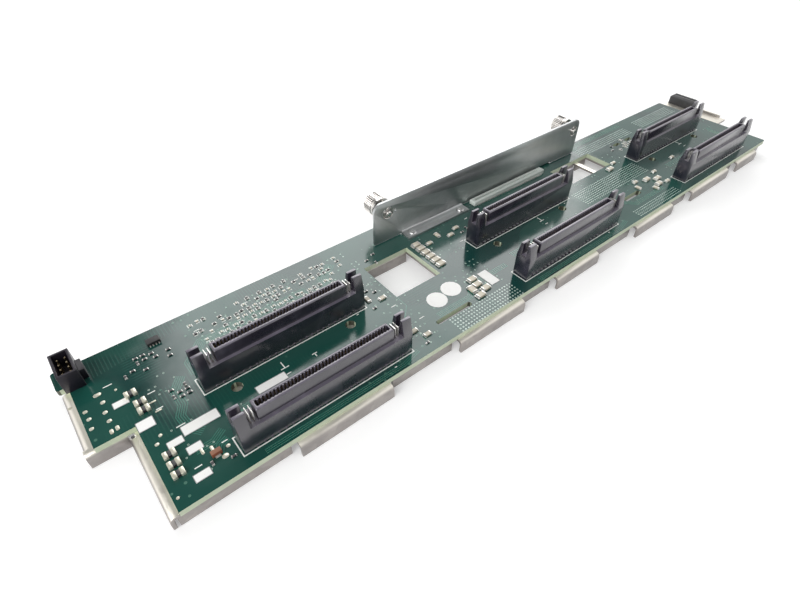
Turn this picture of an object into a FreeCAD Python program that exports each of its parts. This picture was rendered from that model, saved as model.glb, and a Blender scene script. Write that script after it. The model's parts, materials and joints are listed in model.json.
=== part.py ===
import FreeCAD, Part
import math
import os

# Six-bay drive backplane board: a long circuit board on a folded sheet-metal stiffener,
# six 80-position drive receptacles in two rows of three, a hold-down bracket with two
# captive thumbscrews, and the small connectors and parts that sit on the board.
#
# Millimetres, +Z up (component side), +X along the board, +Y towards its top edge in the
# chassis.  The model is laid out from the board's front left corner, with Z = 0 on the
# board's top face, and moved at the end so that the origin is the bottom centre of it all.

# ---- circuit board -------------------------------------------------------------------
board_length = 372.5
board_width = 76.0
board_thickness = 2.4
wing_length = 12.8              # the board's wing past its main left edge
wing_front = 36.0               # where the wing starts, from the front edge
wing_lip_length = 3.6           # small lip of the wing over the stiffener's flange
wing_lip_width = 9.6
back_step_depth = 4.4           # the right part of the back edge steps in
back_step_at = 246.0
board_corner_radius = 1.0

# ---- drive receptacles, two rows of three --------------------------------------------
column_count = 3
column_pitch = 131.0
row_pitch = 29.4
row_names = "ba"                # front row, back row
first_column = 23.1             # left end of the first housing
first_row = 4.8                 # front face of the front row
housing_length = 67.3
housing_width = 7.4
housing_base_height = 10.2
housing_foot_length = 3.0       # stand-off feet under the housing's base
housing_standoff = 0.4
tower_gap = 3.35                # clear gap from each end post to the tower
tower_end_wall = 0.935
tower_width = 4.7
tower_height = 15.4
tower_chamfer = 0.4
contact_pitch = 1.27            # as many contacts as the slot takes, in two rows
contact_width = 0.6
contact_thickness = 0.25
contact_rim = 0.8               # solid rim of the tower over the contacts
contact_top_gap = 0.2
slot_width = 2.5
slot_depth = 6.0
slot_end_margin = 0.3           # slot past the outer contacts
comb_depth = 0.45               # channels of the contacts behind the slot's walls
post_length = 4.0               # end posts that guide the drive in
post_height = 16.8
post_notch_width = 2.3
post_notch_depth = 5.6
post_lead = 1.3                 # sloped lead-in on the posts
ground_blade_thickness = 0.3
ground_blade_width = 3.2
ground_blade_height = 14.4
ground_blade_gap = 1.0          # between the two blades at one end

# ---- stiffener -----------------------------------------------------------------------
sheet = 1.2
bend_radius = 1.0               # inside radius of the folds
bend_facets = 3                 # flats of a fold
stiffener_height = 5.8          # from its flanges' edge to the board's underside
rim_width = 3.4                 # flat rim and fold beyond the board at the left
tab_reach = 2.5                 # front tabs' outer face beyond the board's edge
flange_setback = 0.8            # the other flanges' outer face inside the board's edge
tab_relief = 2.0                # gap beside each front tab
corner_relief = 0.6             # and between flanges at an inner corner
flange_root = 1.0               # flat of a fold before its bend
ear_length = 16.3               # ear beyond the board's right end
ear_front = 31.8
ear_lip_height = 1.6
ear_lip_front = 35.6
ear_lip_length = 12.0
tail_row_spacing = 3.8
tail_window_margin = 1.6        # clearance of the stiffener round the receptacles' tails
slot_margin = 0.6               # and round the board's slots
# front tabs: left end, length
front_tabs = (
    (38.3, 38.0), (109.5, 37.0), (168.5, 30.0), (230.5, 33.5), (284.0, 40.5), (336.0, 24.0))

# ---- windows through board and stiffener ---------------------------------------------
window_left = 104.4
window_front = 31.2
window_length = 24.2
window_width = 23.0
far_window_left = 235.8
far_window_front = 41.8
far_window_length = 34.4
far_window_width = 15.8
far_window_rib = 3.0            # rib of the stiffener across the far window
far_window_rib_at = 22.5

# ---- hold-down bracket and its captive thumbscrews -----------------------------------
bracket_left = 117.8
bracket_length = 145.8
bracket_face = 63.8             # its front face, from the board's front edge
bracket_height = 21.3
bracket_sheet = 1.2
bracket_standoff = 0.6          # its plate above the board between the feet
bracket_corner_radius = 4.0
bracket_foot_length = 39.0
bracket_foot_depth = 6.0
bracket_foot_at = 15.7
bracket_back_foot_at = 112.0    # a second foot, turned back behind the plate
bracket_back_foot_length = 14.0
screw_height = 15.0             # screw axis above the board's top face
screw_inset = 7.8               # and in from the bracket's left end
screw_end_inset = 4.4           # and in from its right end
pilot_hole_radius = 0.6
pilot_hole_offset = 4.2
ferrule_radius = 3.0
ferrule_flange_radius = 3.6
ferrule_flange = 1.4
ferrule_recess_radius = 2.6
ferrule_recess_depth = 0.7
screw_radius = 1.5
screw_groove_radius = 1.1
screw_point = 0.4
screw_tip = 1.1                 # thread that shows in front of the bracket at rest
running_clearance = 0.06        # screw in its ferrule, ring in its groove
ring_outer_radius = 2.4
ring_thickness = 0.5
ring_gap = 1.8                  # open side of the retaining ring
spring_radius = 2.3             # mean radius of the coil
spring_wire = 0.45
spring_turns = 4
spring_facets = 8               # flats of one turn
wire_sides = 4
knob_radius = 5.0
knob_length = 7.6
knob_gap = 3.9                  # bracket's back face to the knob at rest
knob_cup_radius = 3.8           # cup in the knob for the spring and the ferrule
knob_cup_depth = 4.0
knob_rim = 1.0                  # plain rim at the knob's front, then its neck
knob_neck_radius = 4.4
knob_neck_length = 0.8
knob_ridge_count = 16
knob_ridge_depth = 0.4
driver_slot_width = 1.2
driver_slot_depth = 1.4

# ---- other connectors ----------------------------------------------------------------
power_left = -13.8
power_front = 63.2
power_length = 6.5              # along X
power_width = 12.4              # along Y
power_height = 8.4
power_wall = 0.9
power_floor = 2.0
power_columns = 2
power_rows = 4
power_pitch = 2.54
power_pin = 0.64
power_pin_height = 7.0
power_latch_width = 6.0
power_latch_reach = 1.7
power_latch_height = 4.6

socket_left = 177.6             # fine-pitch socket for a daughter card
socket_front = 59.0
socket_length = 54.0
socket_width = 3.8
socket_height = 2.4
socket_slot_width = 1.0
socket_slot_depth = 1.6
socket_wall = 2.0               # at the ends of its slot
socket_chamfer = 0.3

guide_overhang = 1.6            # moulded guide block past the end of the stiffener's ear
guide_front = 53.2
guide_length = 6.4              # along X
guide_width = 17.4              # along Y
guide_height = 5.9
guide_chamfer = 1.2
guide_groove = 1.4
guide_peg_radius = 1.0
guide_peg_inset = 2.4

# ---- holes and slots, fasteners ------------------------------------------------------
tooling_hole_radius = 2.1
tooling_hole_offset = 9.6       # from a housing's left end
tooling_hole_far_offset = 57.4
tooling_hole_front = 30.2
# slots through the board: left end, front side, length, width
board_slots = (
    (107.2, 8.6, 18.8, 2.2), (243.0, 13.4, 14.5, 2.8), (291.0, 52.6, 6.0, 2.2),
    (303.0, 52.6, 6.0, 2.2))
round_sides = 16                # flats of a turned or drilled round
rivet_sides = 10                # and of the small ones
rivet_radius = 1.2
rivet_head_radius = 1.9
rivet_head = 0.7
rivet_clearance = 0.05
riveted_receptacles = ("a1", "a3")
rivet_behind = 4.0              # board rivets behind the middle of those receptacles
foot_rivet_inset = 4.0

# ---- parts on the board: left, front -------------------------------------------------
fuse_size = (4.0, 2.6, 1.4)
fuses = ((1.1, 48.2), (2.5, 42.7), (2.5, 39.1), (2.9, 17.8), (2.8, 13.8), (2.6, 9.9))
tantalum_size = (3.5, 2.8, 1.9)
tantalum_at = (14.6, 9.1)
chip_size = (5.0, 4.0, 1.6)
chip_at = (15.1, 66.5)
dot_radius = 4.45               # round paper inspection dots
dot_thickness = 0.12
dots = ((116.2, 19.6), (125.3, 21.0))

# ---- derived -------------------------------------------------------------------------
underside = -board_thickness
sheet_bottom = underside - sheet
fold_reach = bend_radius + sheet            # outer face of a fold to its bend line
wing_left = -wing_length
board_back = board_width - back_step_depth  # back edge right of the step
ear_right = board_length + ear_length
guide_left = ear_right + guide_overhang - guide_length
tower_inset = post_length + tower_gap
tower_length = housing_length - 2 * tower_inset
slot_length = tower_length - 2 * tower_end_wall
contact_room = slot_length - 2 * slot_end_margin - contact_width
contact_count = 1 + math.floor(contact_room / contact_pitch + 0.01)
contact_span = (contact_count - 1) * contact_pitch
bracket_back = bracket_face + bracket_sheet
bracket_right = bracket_left + bracket_length
ferrule_bore_radius = screw_radius + running_clearance
ring_inner_radius = screw_groove_radius + running_clearance
ring_back = bracket_face + ferrule_recess_depth - running_clearance
ferrule_back = bracket_back + ferrule_flange
knob_front = bracket_back + knob_gap
knob_cup_back = knob_front + knob_cup_depth
along_y = FreeCAD.Vector(0, 1, 0)
upward = FreeCAD.Vector(0, 0, 1)


def point(x, y, z=0.0):
    return FreeCAD.Vector(x, y, z)


def box(x, y, z, length, width, height):
    return Part.makeBox(length, width, height, point(x, y, z))


def circle_points(x, y, z, radius, axis, sides=round_sides):
    """Corners of a regular outline round the point, square to the axis."""
    corners = []
    for i in range(sides):
        angle = 2 * math.pi * (i + 0.5) / sides
        across = radius * math.cos(angle)
        along = radius * math.sin(angle)
        if axis == along_y:
            corners.append(point(x + across, y, z + along))
        else:
            corners.append(point(x + across, y + along, z))
    return corners


def prism(corners, path):
    return Part.Face(Part.makePolygon(corners + corners[:1])).extrude(path)


def drum(x, y, z, radius, height, sides=round_sides):
    return prism(circle_points(x, y, z, radius, upward, sides), upward * height)


def rod(x, y, z, radius, length, sides=round_sides):
    """A round bar along +Y."""
    return prism(circle_points(x, y, z, radius, along_y, sides), along_y * length)


def plate(outline, bottom, thickness):
    return prism([point(x, y, bottom) for x, y in outline], upward * thickness)


def round_corners(solid, radius):
    """Rounds the upright edges of a plate at the corners of its box."""
    box_sides = (solid.BoundBox.XMin, solid.BoundBox.XMax)
    upright = [
        e for e in solid.Edges
        if e.BoundBox.XLength + e.BoundBox.YLength < 1e-6
        and min(abs(e.BoundBox.XMin - side) for side in box_sides) < 1e-6]
    return solid.makeFillet(radius, upright)


def oblong(x, y, z, length, width, height):
    """A bar with full round ends."""
    radius = width / 2
    straight = box(x + radius, y, z, length - width, width, height)
    ends = [drum(x + at, y + radius, z, radius, height) for at in (radius, length - radius)]
    return straight.fuse(ends).removeSplitter()


def fold(length, height, root, thickness):
    """A folded edge: its outer face is the plane Y = 0, its flat lies at Z = 0 towards +Y."""
    outer = bend_radius + thickness

    def bend(radius):
        """The bend's line from the flat down to the flange."""
        turns = [math.pi / 2 * i / bend_facets for i in range(bend_facets + 1)]
        return [
            point(0, outer - radius * math.sin(turn), radius * math.cos(turn) - outer)
            for turn in turns]

    flat_end = outer + root
    profile = [point(0, flat_end, 0)] + bend(outer) + [point(0, 0, -height)]
    profile += [point(0, thickness, -height)] + bend(bend_radius)[::-1]
    profile.append(point(0, flat_end, -thickness))
    return prism(profile, point(length, 0, 0))


def flange(facing, face, start, end):
    """A flange of the stiffener between two ends, its outer face on the plane `face`."""
    turned = fold(end - start, stiffener_height, flange_root, sheet)
    angle = {"front": 0, "right": 90, "back": 180, "left": 270}[facing]
    turned.rotate(point(0, 0), upward, angle)
    corner = {
        "front": (start, face), "right": (face, start),
        "back": (end, face), "left": (face, end)}[facing]
    turned.translate(point(corner[0], corner[1], underside))
    return turned


def receptacles():
    """(name, left, front) of each receptacle."""
    for row, row_name in enumerate(row_names):
        for column in range(column_count):
            yield (
                row_name + str(column + 1),
                first_column + column * column_pitch,
                first_row + row * row_pitch)


def tooling_hole_places():
    for column in range(column_count):
        for offset in (tooling_hole_offset, tooling_hole_far_offset):
            yield first_column + column * column_pitch + offset, tooling_hole_front


def rivet_holes(z, height):
    return [
        drum(x, y, z, rivet_radius + rivet_clearance, height, rivet_sides)
        for x, y in board_rivet_places() + foot_rivet_places()]


def board_rivet_places():
    return [
        (left + housing_length / 2, front + housing_width + rivet_behind)
        for name, left, front in receptacles() if name in riveted_receptacles]


def foot_rivet_places():
    foot_left = bracket_left + bracket_foot_at
    foot_right = foot_left + bracket_foot_length
    back_foot_middle = bracket_left + bracket_back_foot_at + bracket_back_foot_length / 2
    reach = (bracket_foot_depth + bend_radius) / 2
    return [
        (foot_left + foot_rivet_inset, bracket_face - reach),
        (foot_right - foot_rivet_inset, bracket_face - reach),
        (back_foot_middle, bracket_back + reach)]


def make_board():
    lip_left = wing_left - wing_lip_length
    outline = (
        (0, 0), (board_length, 0), (board_length, board_back), (back_step_at, board_back),
        (back_step_at, board_width), (lip_left, board_width),
        (lip_left, board_width - wing_lip_width), (wing_left, board_width - wing_lip_width),
        (wing_left, wing_front), (0, wing_front))
    solid = round_corners(plate(outline, underside, board_thickness), board_corner_radius)
    cutters = [
        box(window_left, window_front, underside, window_length, window_width, board_thickness),
        box(
            far_window_left, far_window_front, underside, far_window_length, far_window_width,
            board_thickness)]
    for x, y in tooling_hole_places():
        cutters.append(drum(x, y, underside, tooling_hole_radius, board_thickness))
    for x, y, length, width in board_slots:
        cutters.append(oblong(x, y, underside, length, width, board_thickness))
    return solid.cut(cutters + rivet_holes(underside, board_thickness))


def make_stiffener():
    left_face = -rim_width
    wing_face = wing_left - rim_width
    right_face = board_length - flange_setback
    back_face = board_width - flange_setback
    short_back_face = board_back - flange_setback
    left_line = left_face + fold_reach
    wing_line = wing_face + fold_reach
    right_line = right_face - fold_reach
    front_line = flange_setback + fold_reach
    notch_line = wing_front + fold_reach
    outline = (
        (left_line, front_line), (right_line, front_line), (right_line, ear_front),
        (ear_right, ear_front), (ear_right, board_back), (right_line, board_back),
        (right_line, short_back_face - fold_reach), (back_step_at, short_back_face - fold_reach),
        (back_step_at, back_face - fold_reach), (wing_line, back_face - fold_reach),
        (wing_line, notch_line), (left_line, notch_line))
    solid = plate(outline, sheet_bottom, sheet)

    pieces = []
    for left, length in front_tabs:
        tab = flange("front", -tab_reach, left, left + length)
        root = box(left, 0, sheet_bottom, length, front_line, sheet)
        pieces += [tab, root]
    ends = [left_line] + [end for left, length in front_tabs for end in (left, left + length)]
    ends.append(right_line)
    for start, end in zip(ends[0::2], ends[1::2]):
        near = start if start == left_line else start + tab_relief
        far = end if end == right_line else end - tab_relief
        pieces.append(flange("front", flange_setback, near, far))
    pieces.append(flange("left", left_face, flange_setback, wing_front - corner_relief))
    pieces.append(flange("front", wing_front, wing_face, left_face))
    pieces.append(flange(
        "left", wing_face, notch_line, board_width - wing_lip_width))
    pieces.append(flange("back", back_face, wing_line, back_step_at - corner_relief))
    pieces.append(flange("back", short_back_face, back_step_at + corner_relief, right_line))
    pieces.append(flange("right", right_face, front_line, ear_front - corner_relief))
    pieces.append(box(
        ear_right - sheet, ear_lip_front, sheet_bottom, sheet, ear_lip_length,
        sheet + ear_lip_height))
    solid = solid.fuse(pieces).removeSplitter()

    cutters = []
    for x, y, length, width in board_slots:
        cutters.append(box(
            x - slot_margin, y - slot_margin, sheet_bottom, length + 2 * slot_margin,
            width + 2 * slot_margin, sheet))
    for name, left, front in receptacles():
        length = contact_span + 2 * tail_window_margin
        width = tail_row_spacing + 2 * tail_window_margin
        cutters.append(box(
            left + (housing_length - length) / 2, front + (housing_width - width) / 2,
            sheet_bottom, length, width, sheet))
    near_back = window_front + window_width
    cutters.append(box(
        window_left, window_front, sheet_bottom, window_length, window_width + fold_reach, sheet))
    rib = far_window_left + far_window_rib_at
    far_back = far_window_front + far_window_width
    spans = (
        (far_window_left, rib), (rib + far_window_rib, far_window_left + far_window_length))
    for start, end in spans:
        cutters.append(box(
            start, far_window_front, sheet_bottom, end - start, far_window_width + fold_reach,
            sheet))
    pegs = [guide_front + guide_peg_inset, guide_front + guide_width - guide_peg_inset]
    for y in pegs:
        cutters.append(drum(
            guide_peg_x(), y, sheet_bottom, guide_peg_radius, sheet, rivet_sides))
    solid = solid.cut(cutters)

    hems = [flange("front", near_back, window_left, window_left + window_length)]
    hems += [flange("front", far_back, start, end) for start, end in spans]
    solid = solid.fuse(hems).removeSplitter()
    return solid.cut(rivet_holes(sheet_bottom, sheet))


def make_housing(left, front):
    middle = front + housing_width / 2
    centre = left + housing_length / 2
    solid = box(
        left, front, housing_standoff, housing_length, housing_width,
        housing_base_height - housing_standoff)
    feet = [
        box(x, front, 0, housing_foot_length, housing_width, housing_standoff)
        for x in (left, left + housing_length - housing_foot_length)]
    tower = box(
        left + tower_inset, middle - tower_width / 2, housing_base_height, tower_length,
        tower_width, tower_height - housing_base_height)
    rim = [
        e for e in tower.Edges
        if e.BoundBox.ZMin > tower_height - 1e-6]
    tower = tower.makeChamfer(tower_chamfer, rim)
    notch_floor = post_height - post_notch_depth
    notch = post_notch_width / 2
    profile = (
        (0, housing_base_height), (housing_width, housing_base_height),
        (housing_width - post_lead, post_height), (housing_width / 2 + notch, post_height),
        (housing_width / 2 + notch, notch_floor), (housing_width / 2 - notch, notch_floor),
        (housing_width / 2 - notch, post_height), (post_lead, post_height))
    posts = []
    for x in (left, left + housing_length - post_length):
        corners = [point(x, front + y, z) for y, z in profile]
        posts.append(prism(corners, point(post_length, 0, 0)))
    solid = solid.fuse(feet + [tower] + posts).removeSplitter()

    slot_left = centre - slot_length / 2
    channel = slot_width + 2 * comb_depth
    cutters = [box(
        slot_left, middle - slot_width / 2, tower_height - slot_depth, slot_length, slot_width,
        slot_depth)]
    for y in (middle - channel / 2, middle + slot_width / 2):
        cutters.append(box(
            slot_left, y, housing_standoff, slot_length, comb_depth,
            tower_height - contact_rim - housing_standoff))
    for blade in ground_blade_places(left, front):
        cutters.append(box(
            blade[0] - rivet_clearance, blade[1] - rivet_clearance, housing_standoff,
            ground_blade_thickness + 2 * rivet_clearance,
            ground_blade_width + 2 * rivet_clearance, housing_base_height - housing_standoff))
    return solid.cut(cutters)


def ground_blade_places(left, front):
    """Left front corner of each ground blade, two in the gap at each end of the tower."""
    y = front + (housing_width - ground_blade_width) / 2
    pair = 2 * ground_blade_thickness + ground_blade_gap
    for start in (left + post_length, left + housing_length - tower_inset):
        first = start + (tower_gap - pair) / 2
        yield first, y
        yield first + ground_blade_thickness + ground_blade_gap, y


def make_contacts(left, front):
    middle = front + housing_width / 2
    first = left + (housing_length - contact_span - contact_width) / 2
    outer = slot_width / 2 + comb_depth
    height = tower_height - contact_rim - contact_top_gap
    solids = []
    for i in range(contact_count):
        x = first + i * contact_pitch
        for y in (middle - outer, middle + outer - contact_thickness):
            solids.append(box(x, y, 0, contact_width, contact_thickness, height))
    return solids


def screw_places():
    """Axis of each thumbscrew along X, with its name."""
    return (
        ("left", bracket_left + screw_inset),
        ("right", bracket_right - screw_end_inset))


def make_bracket():
    solid = box(
        bracket_left, bracket_face, bracket_standoff, bracket_length, bracket_sheet,
        bracket_height - bracket_standoff)
    top_corners = [
        e for e in solid.Edges
        if e.BoundBox.XLength + e.BoundBox.ZLength < 1e-6 and e.BoundBox.ZMin > screw_height]
    solid = solid.makeFillet(bracket_corner_radius, top_corners)
    bend = bend_radius + bracket_sheet
    root = bracket_foot_depth - bend_radius
    foot_left = bracket_left + bracket_foot_at
    back_foot_left = bracket_left + bracket_back_foot_at
    foot = fold(bracket_foot_length, bend + flange_root, root, bracket_sheet)
    foot.rotate(point(0, 0), point(1, 0, 0), 180)
    foot.translate(point(foot_left, bracket_back, 0))
    back_foot = fold(bracket_back_foot_length, bend + flange_root, root, bracket_sheet)
    back_foot.rotate(point(0, 0), point(1, 0, 0), 180)
    back_foot.rotate(point(0, 0), upward, 180)
    back_foot.translate(point(back_foot_left + bracket_back_foot_length, bracket_face, 0))
    gaps = [
        box(start, bracket_face, 0, length, bracket_sheet, bend)
        for start, length in (
            (foot_left, bracket_foot_length), (back_foot_left, bracket_back_foot_length))]
    solid = solid.cut(gaps).fuse([foot, back_foot]).removeSplitter()
    cutters = []
    for name, x in screw_places():
        cutters.append(rod(x, bracket_face, screw_height, ferrule_radius, bracket_sheet))
    pilot_x = bracket_left + screw_inset + pilot_hole_offset
    cutters.append(rod(
        pilot_x, bracket_face, screw_height, pilot_hole_radius, bracket_sheet, rivet_sides))
    for x, y in foot_rivet_places():
        cutters.append(drum(
            x, y, 0, rivet_radius + rivet_clearance, bracket_sheet, rivet_sides))
    return solid.cut(cutters)


def make_ferrule(x):
    solid = rod(x, bracket_face, screw_height, ferrule_radius, bracket_sheet)
    rim = rod(x, bracket_back, screw_height, ferrule_flange_radius, ferrule_flange)
    bore = rod(
        x, bracket_face, screw_height, ferrule_bore_radius, bracket_sheet + ferrule_flange)
    recess = rod(x, bracket_face, screw_height, ferrule_recess_radius, ferrule_recess_depth)
    return solid.fuse(rim).cut([bore, recess])


def make_thumbscrew(x):
    """Screw and knob in one turned piece, with a straight-knurled grip."""
    tip = bracket_face - screw_tip
    blunt = circle_points(x, tip, screw_height, screw_radius - screw_point, along_y)
    full = circle_points(x, tip + screw_point, screw_height, screw_radius, along_y)
    tip_cone = Part.makeLoft(
        [Part.makePolygon(ring + ring[:1]) for ring in (blunt, full)], True, True)
    shank = rod(
        x, tip + screw_point, screw_height, screw_radius, knob_cup_back - tip - screw_point)

    neck_front = knob_front + knob_rim
    grip_front = neck_front + knob_neck_length
    knob_back = knob_front + knob_length
    rim = rod(x, knob_front, screw_height, knob_radius, knob_rim)
    neck = rod(x, neck_front, screw_height, knob_neck_radius, knob_neck_length)
    knurl = []
    for i in range(2 * knob_ridge_count):
        radius = knob_radius - knob_ridge_depth * (i % 2)
        angle = math.pi * i / knob_ridge_count
        knurl.append(point(
            x + radius * math.cos(angle), grip_front, screw_height + radius * math.sin(angle)))
    grip = prism(knurl, along_y * (knob_back - grip_front))
    cup = rod(x, knob_front, screw_height, knob_cup_radius, knob_cup_depth)
    driver_slot = box(
        x - knob_radius, knob_back - driver_slot_depth, screw_height - driver_slot_width / 2,
        2 * knob_radius, driver_slot_depth, driver_slot_width)
    knob = rim.fuse([neck, grip]).cut([cup, driver_slot])

    groove_front = ring_back - ring_thickness - running_clearance
    groove_width = ring_thickness + 2 * running_clearance
    groove = rod(x, groove_front, screw_height, screw_radius + running_clearance, groove_width)
    core = Part.makeCylinder(
        screw_groove_radius, groove_width, point(x, groove_front, screw_height), along_y)
    return knob.fuse([shank, tip_cone]).removeSplitter().cut(groove.cut(core))


def make_retaining_ring(x):
    front = ring_back - ring_thickness
    solid = rod(x, front, screw_height, ring_outer_radius, ring_thickness)
    bore = Part.makeCylinder(
        ring_inner_radius, ring_thickness, point(x, front, screw_height), along_y)
    opening = box(
        x - ring_gap / 2, front, screw_height - ring_outer_radius, ring_gap, ring_thickness,
        ring_outer_radius)
    return solid.cut([bore, opening])


def make_spring(x):
    """A coil of faceted wire with flat ends, in the radial plane at each step."""
    length = knob_cup_back - ferrule_back - spring_wire
    steps = spring_turns * spring_facets
    rings = []
    for i in range(steps + 1):
        around = 2 * math.pi * i / spring_facets
        ring = []
        for k in range(wire_sides):
            turn = 2 * math.pi * k / wire_sides
            radius = spring_radius + spring_wire / 2 * math.cos(turn)
            ring.append(point(
                x + radius * math.cos(around),
                ferrule_back + spring_wire / 2 * (1 + math.sin(turn)) + length * i / steps,
                screw_height + radius * math.sin(around)))
        rings.append(ring)
    outlines = [rings[0], rings[-1]]
    for near, far in zip(rings, rings[1:]):
        for k in range(wire_sides):
            after = (k + 1) % wire_sides
            outlines.append([near[k], near[after], far[after]])
            outlines.append([near[k], far[after], far[k]])
    faces = [Part.Face(Part.makePolygon(corners + corners[:1])) for corners in outlines]
    solid = Part.makeSolid(Part.makeShell(faces))
    if solid.Volume < 0:
        solid.reverse()
    return solid


def power_pin_places():
    middle_x = power_left + power_length / 2
    middle_y = power_front + power_width / 2
    for column in range(power_columns):
        for row in range(power_rows):
            yield (
                middle_x + (column - (power_columns - 1) / 2) * power_pitch - power_pin / 2,
                middle_y + (row - (power_rows - 1) / 2) * power_pitch - power_pin / 2)


def make_power_connector():
    solid = box(power_left, power_front, 0, power_length, power_width, power_height)
    latch = box(
        power_left + power_length, power_front + (power_width - power_latch_width) / 2, 0,
        power_latch_reach, power_latch_width, power_latch_height)
    inside = box(
        power_left + power_wall, power_front + power_wall, power_floor,
        power_length - 2 * power_wall, power_width - 2 * power_wall, power_height)
    pins = [
        box(
            x - rivet_clearance, y - rivet_clearance, 0, power_pin + 2 * rivet_clearance,
            power_pin + 2 * rivet_clearance, power_floor)
        for x, y in power_pin_places()]
    return solid.fuse(latch).cut([inside] + pins)


def make_socket():
    solid = box(socket_left, socket_front, 0, socket_length, socket_width, socket_height)
    rim = [
        e for e in solid.Edges
        if e.BoundBox.ZMin > socket_height - 1e-6 and e.BoundBox.XLength > socket_width]
    solid = solid.makeChamfer(socket_chamfer, rim)
    return solid.cut(box(
        socket_left + socket_wall, socket_front + (socket_width - socket_slot_width) / 2,
        socket_height - socket_slot_depth, socket_length - 2 * socket_wall, socket_slot_width,
        socket_slot_depth))


def guide_peg_x():
    return (guide_left + ear_right) / 2


def make_guide_block():
    solid = box(guide_left, guide_front, underside, guide_length, guide_width, guide_height)
    top = [e for e in solid.Edges if e.BoundBox.ZMin > underside + guide_height - 1e-6]
    solid = solid.makeChamfer(guide_chamfer, top)
    groove = box(
        guide_left + (guide_length - guide_groove) / 2, guide_front,
        underside + guide_height - guide_groove, guide_groove, guide_width, guide_groove)
    pegs = [
        drum(guide_peg_x(), y, sheet_bottom, guide_peg_radius, sheet, rivet_sides)
        for y in (guide_front + guide_peg_inset, guide_front + guide_width - guide_peg_inset)]
    return solid.cut(groove).fuse(pegs)


def make_rivet(x, y, top):
    """Head on the surface at `top`, shank through, and a formed head under the stiffener."""
    shank = drum(x, y, sheet_bottom, rivet_radius, top - sheet_bottom, rivet_sides)
    heads = [
        drum(x, y, z, rivet_head_radius, rivet_head, rivet_sides)
        for z in (top, sheet_bottom - rivet_head)]
    return shank.fuse(heads).removeSplitter()


def chip(at, size):
    return box(at[0], at[1], 0, size[0], size[1], size[2])


nodes = {
    "board": [make_board()],
    "stiffener": [make_stiffener()],
    "bracket": [make_bracket()],
}
blades = []
for name, left, front in receptacles():
    nodes["receptacle_" + name] = [make_housing(left, front)]
    nodes["contacts_" + name] = make_contacts(left, front)
    for x, y in ground_blade_places(left, front):
        blades.append(box(
            x, y, 0, ground_blade_thickness, ground_blade_width, ground_blade_height))
nodes["ground_blades"] = blades
for name, x in screw_places():
    nodes["ferrule_" + name] = [make_ferrule(x)]
    nodes["thumbscrew_" + name] = [make_thumbscrew(x)]
    nodes["retaining_ring_" + name] = [make_retaining_ring(x)]
    nodes["spring_" + name] = [make_spring(x)]
nodes["power_connector"] = [make_power_connector()]
nodes["power_pins"] = [
    box(x, y, 0, power_pin, power_pin, power_pin_height) for x, y in power_pin_places()]
nodes["daughter_card_socket"] = [make_socket()]
nodes["guide_block"] = [make_guide_block()]
nodes["board_rivets"] = [make_rivet(x, y, 0) for x, y in board_rivet_places()]
nodes["foot_rivets"] = [make_rivet(x, y, bracket_sheet) for x, y in foot_rivet_places()]
nodes["fuses"] = [chip(at, fuse_size) for at in fuses]
nodes["tantalum_capacitor"] = [chip(tantalum_at, tantalum_size)]
nodes["logic_chip"] = [chip(chip_at, chip_size)]
nodes["inspection_dots"] = [drum(x, y, 0, dot_radius, dot_thickness) for x, y in dots]

bounds = Part.makeCompound([solid for solids in nodes.values() for solid in solids]).BoundBox
shift = point(-bounds.Center.x, -bounds.Center.y, -bounds.ZMin)
os.makedirs("parts", exist_ok=True)
for name, solids in nodes.items():
    shape = solids[0] if len(solids) == 1 else Part.makeCompound(solids)
    shape.translate(shift)
    shape.exportStep("parts/" + name + ".step")
print("moved by", shift, "size", bounds.XLength, bounds.YLength, bounds.ZLength)
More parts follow.
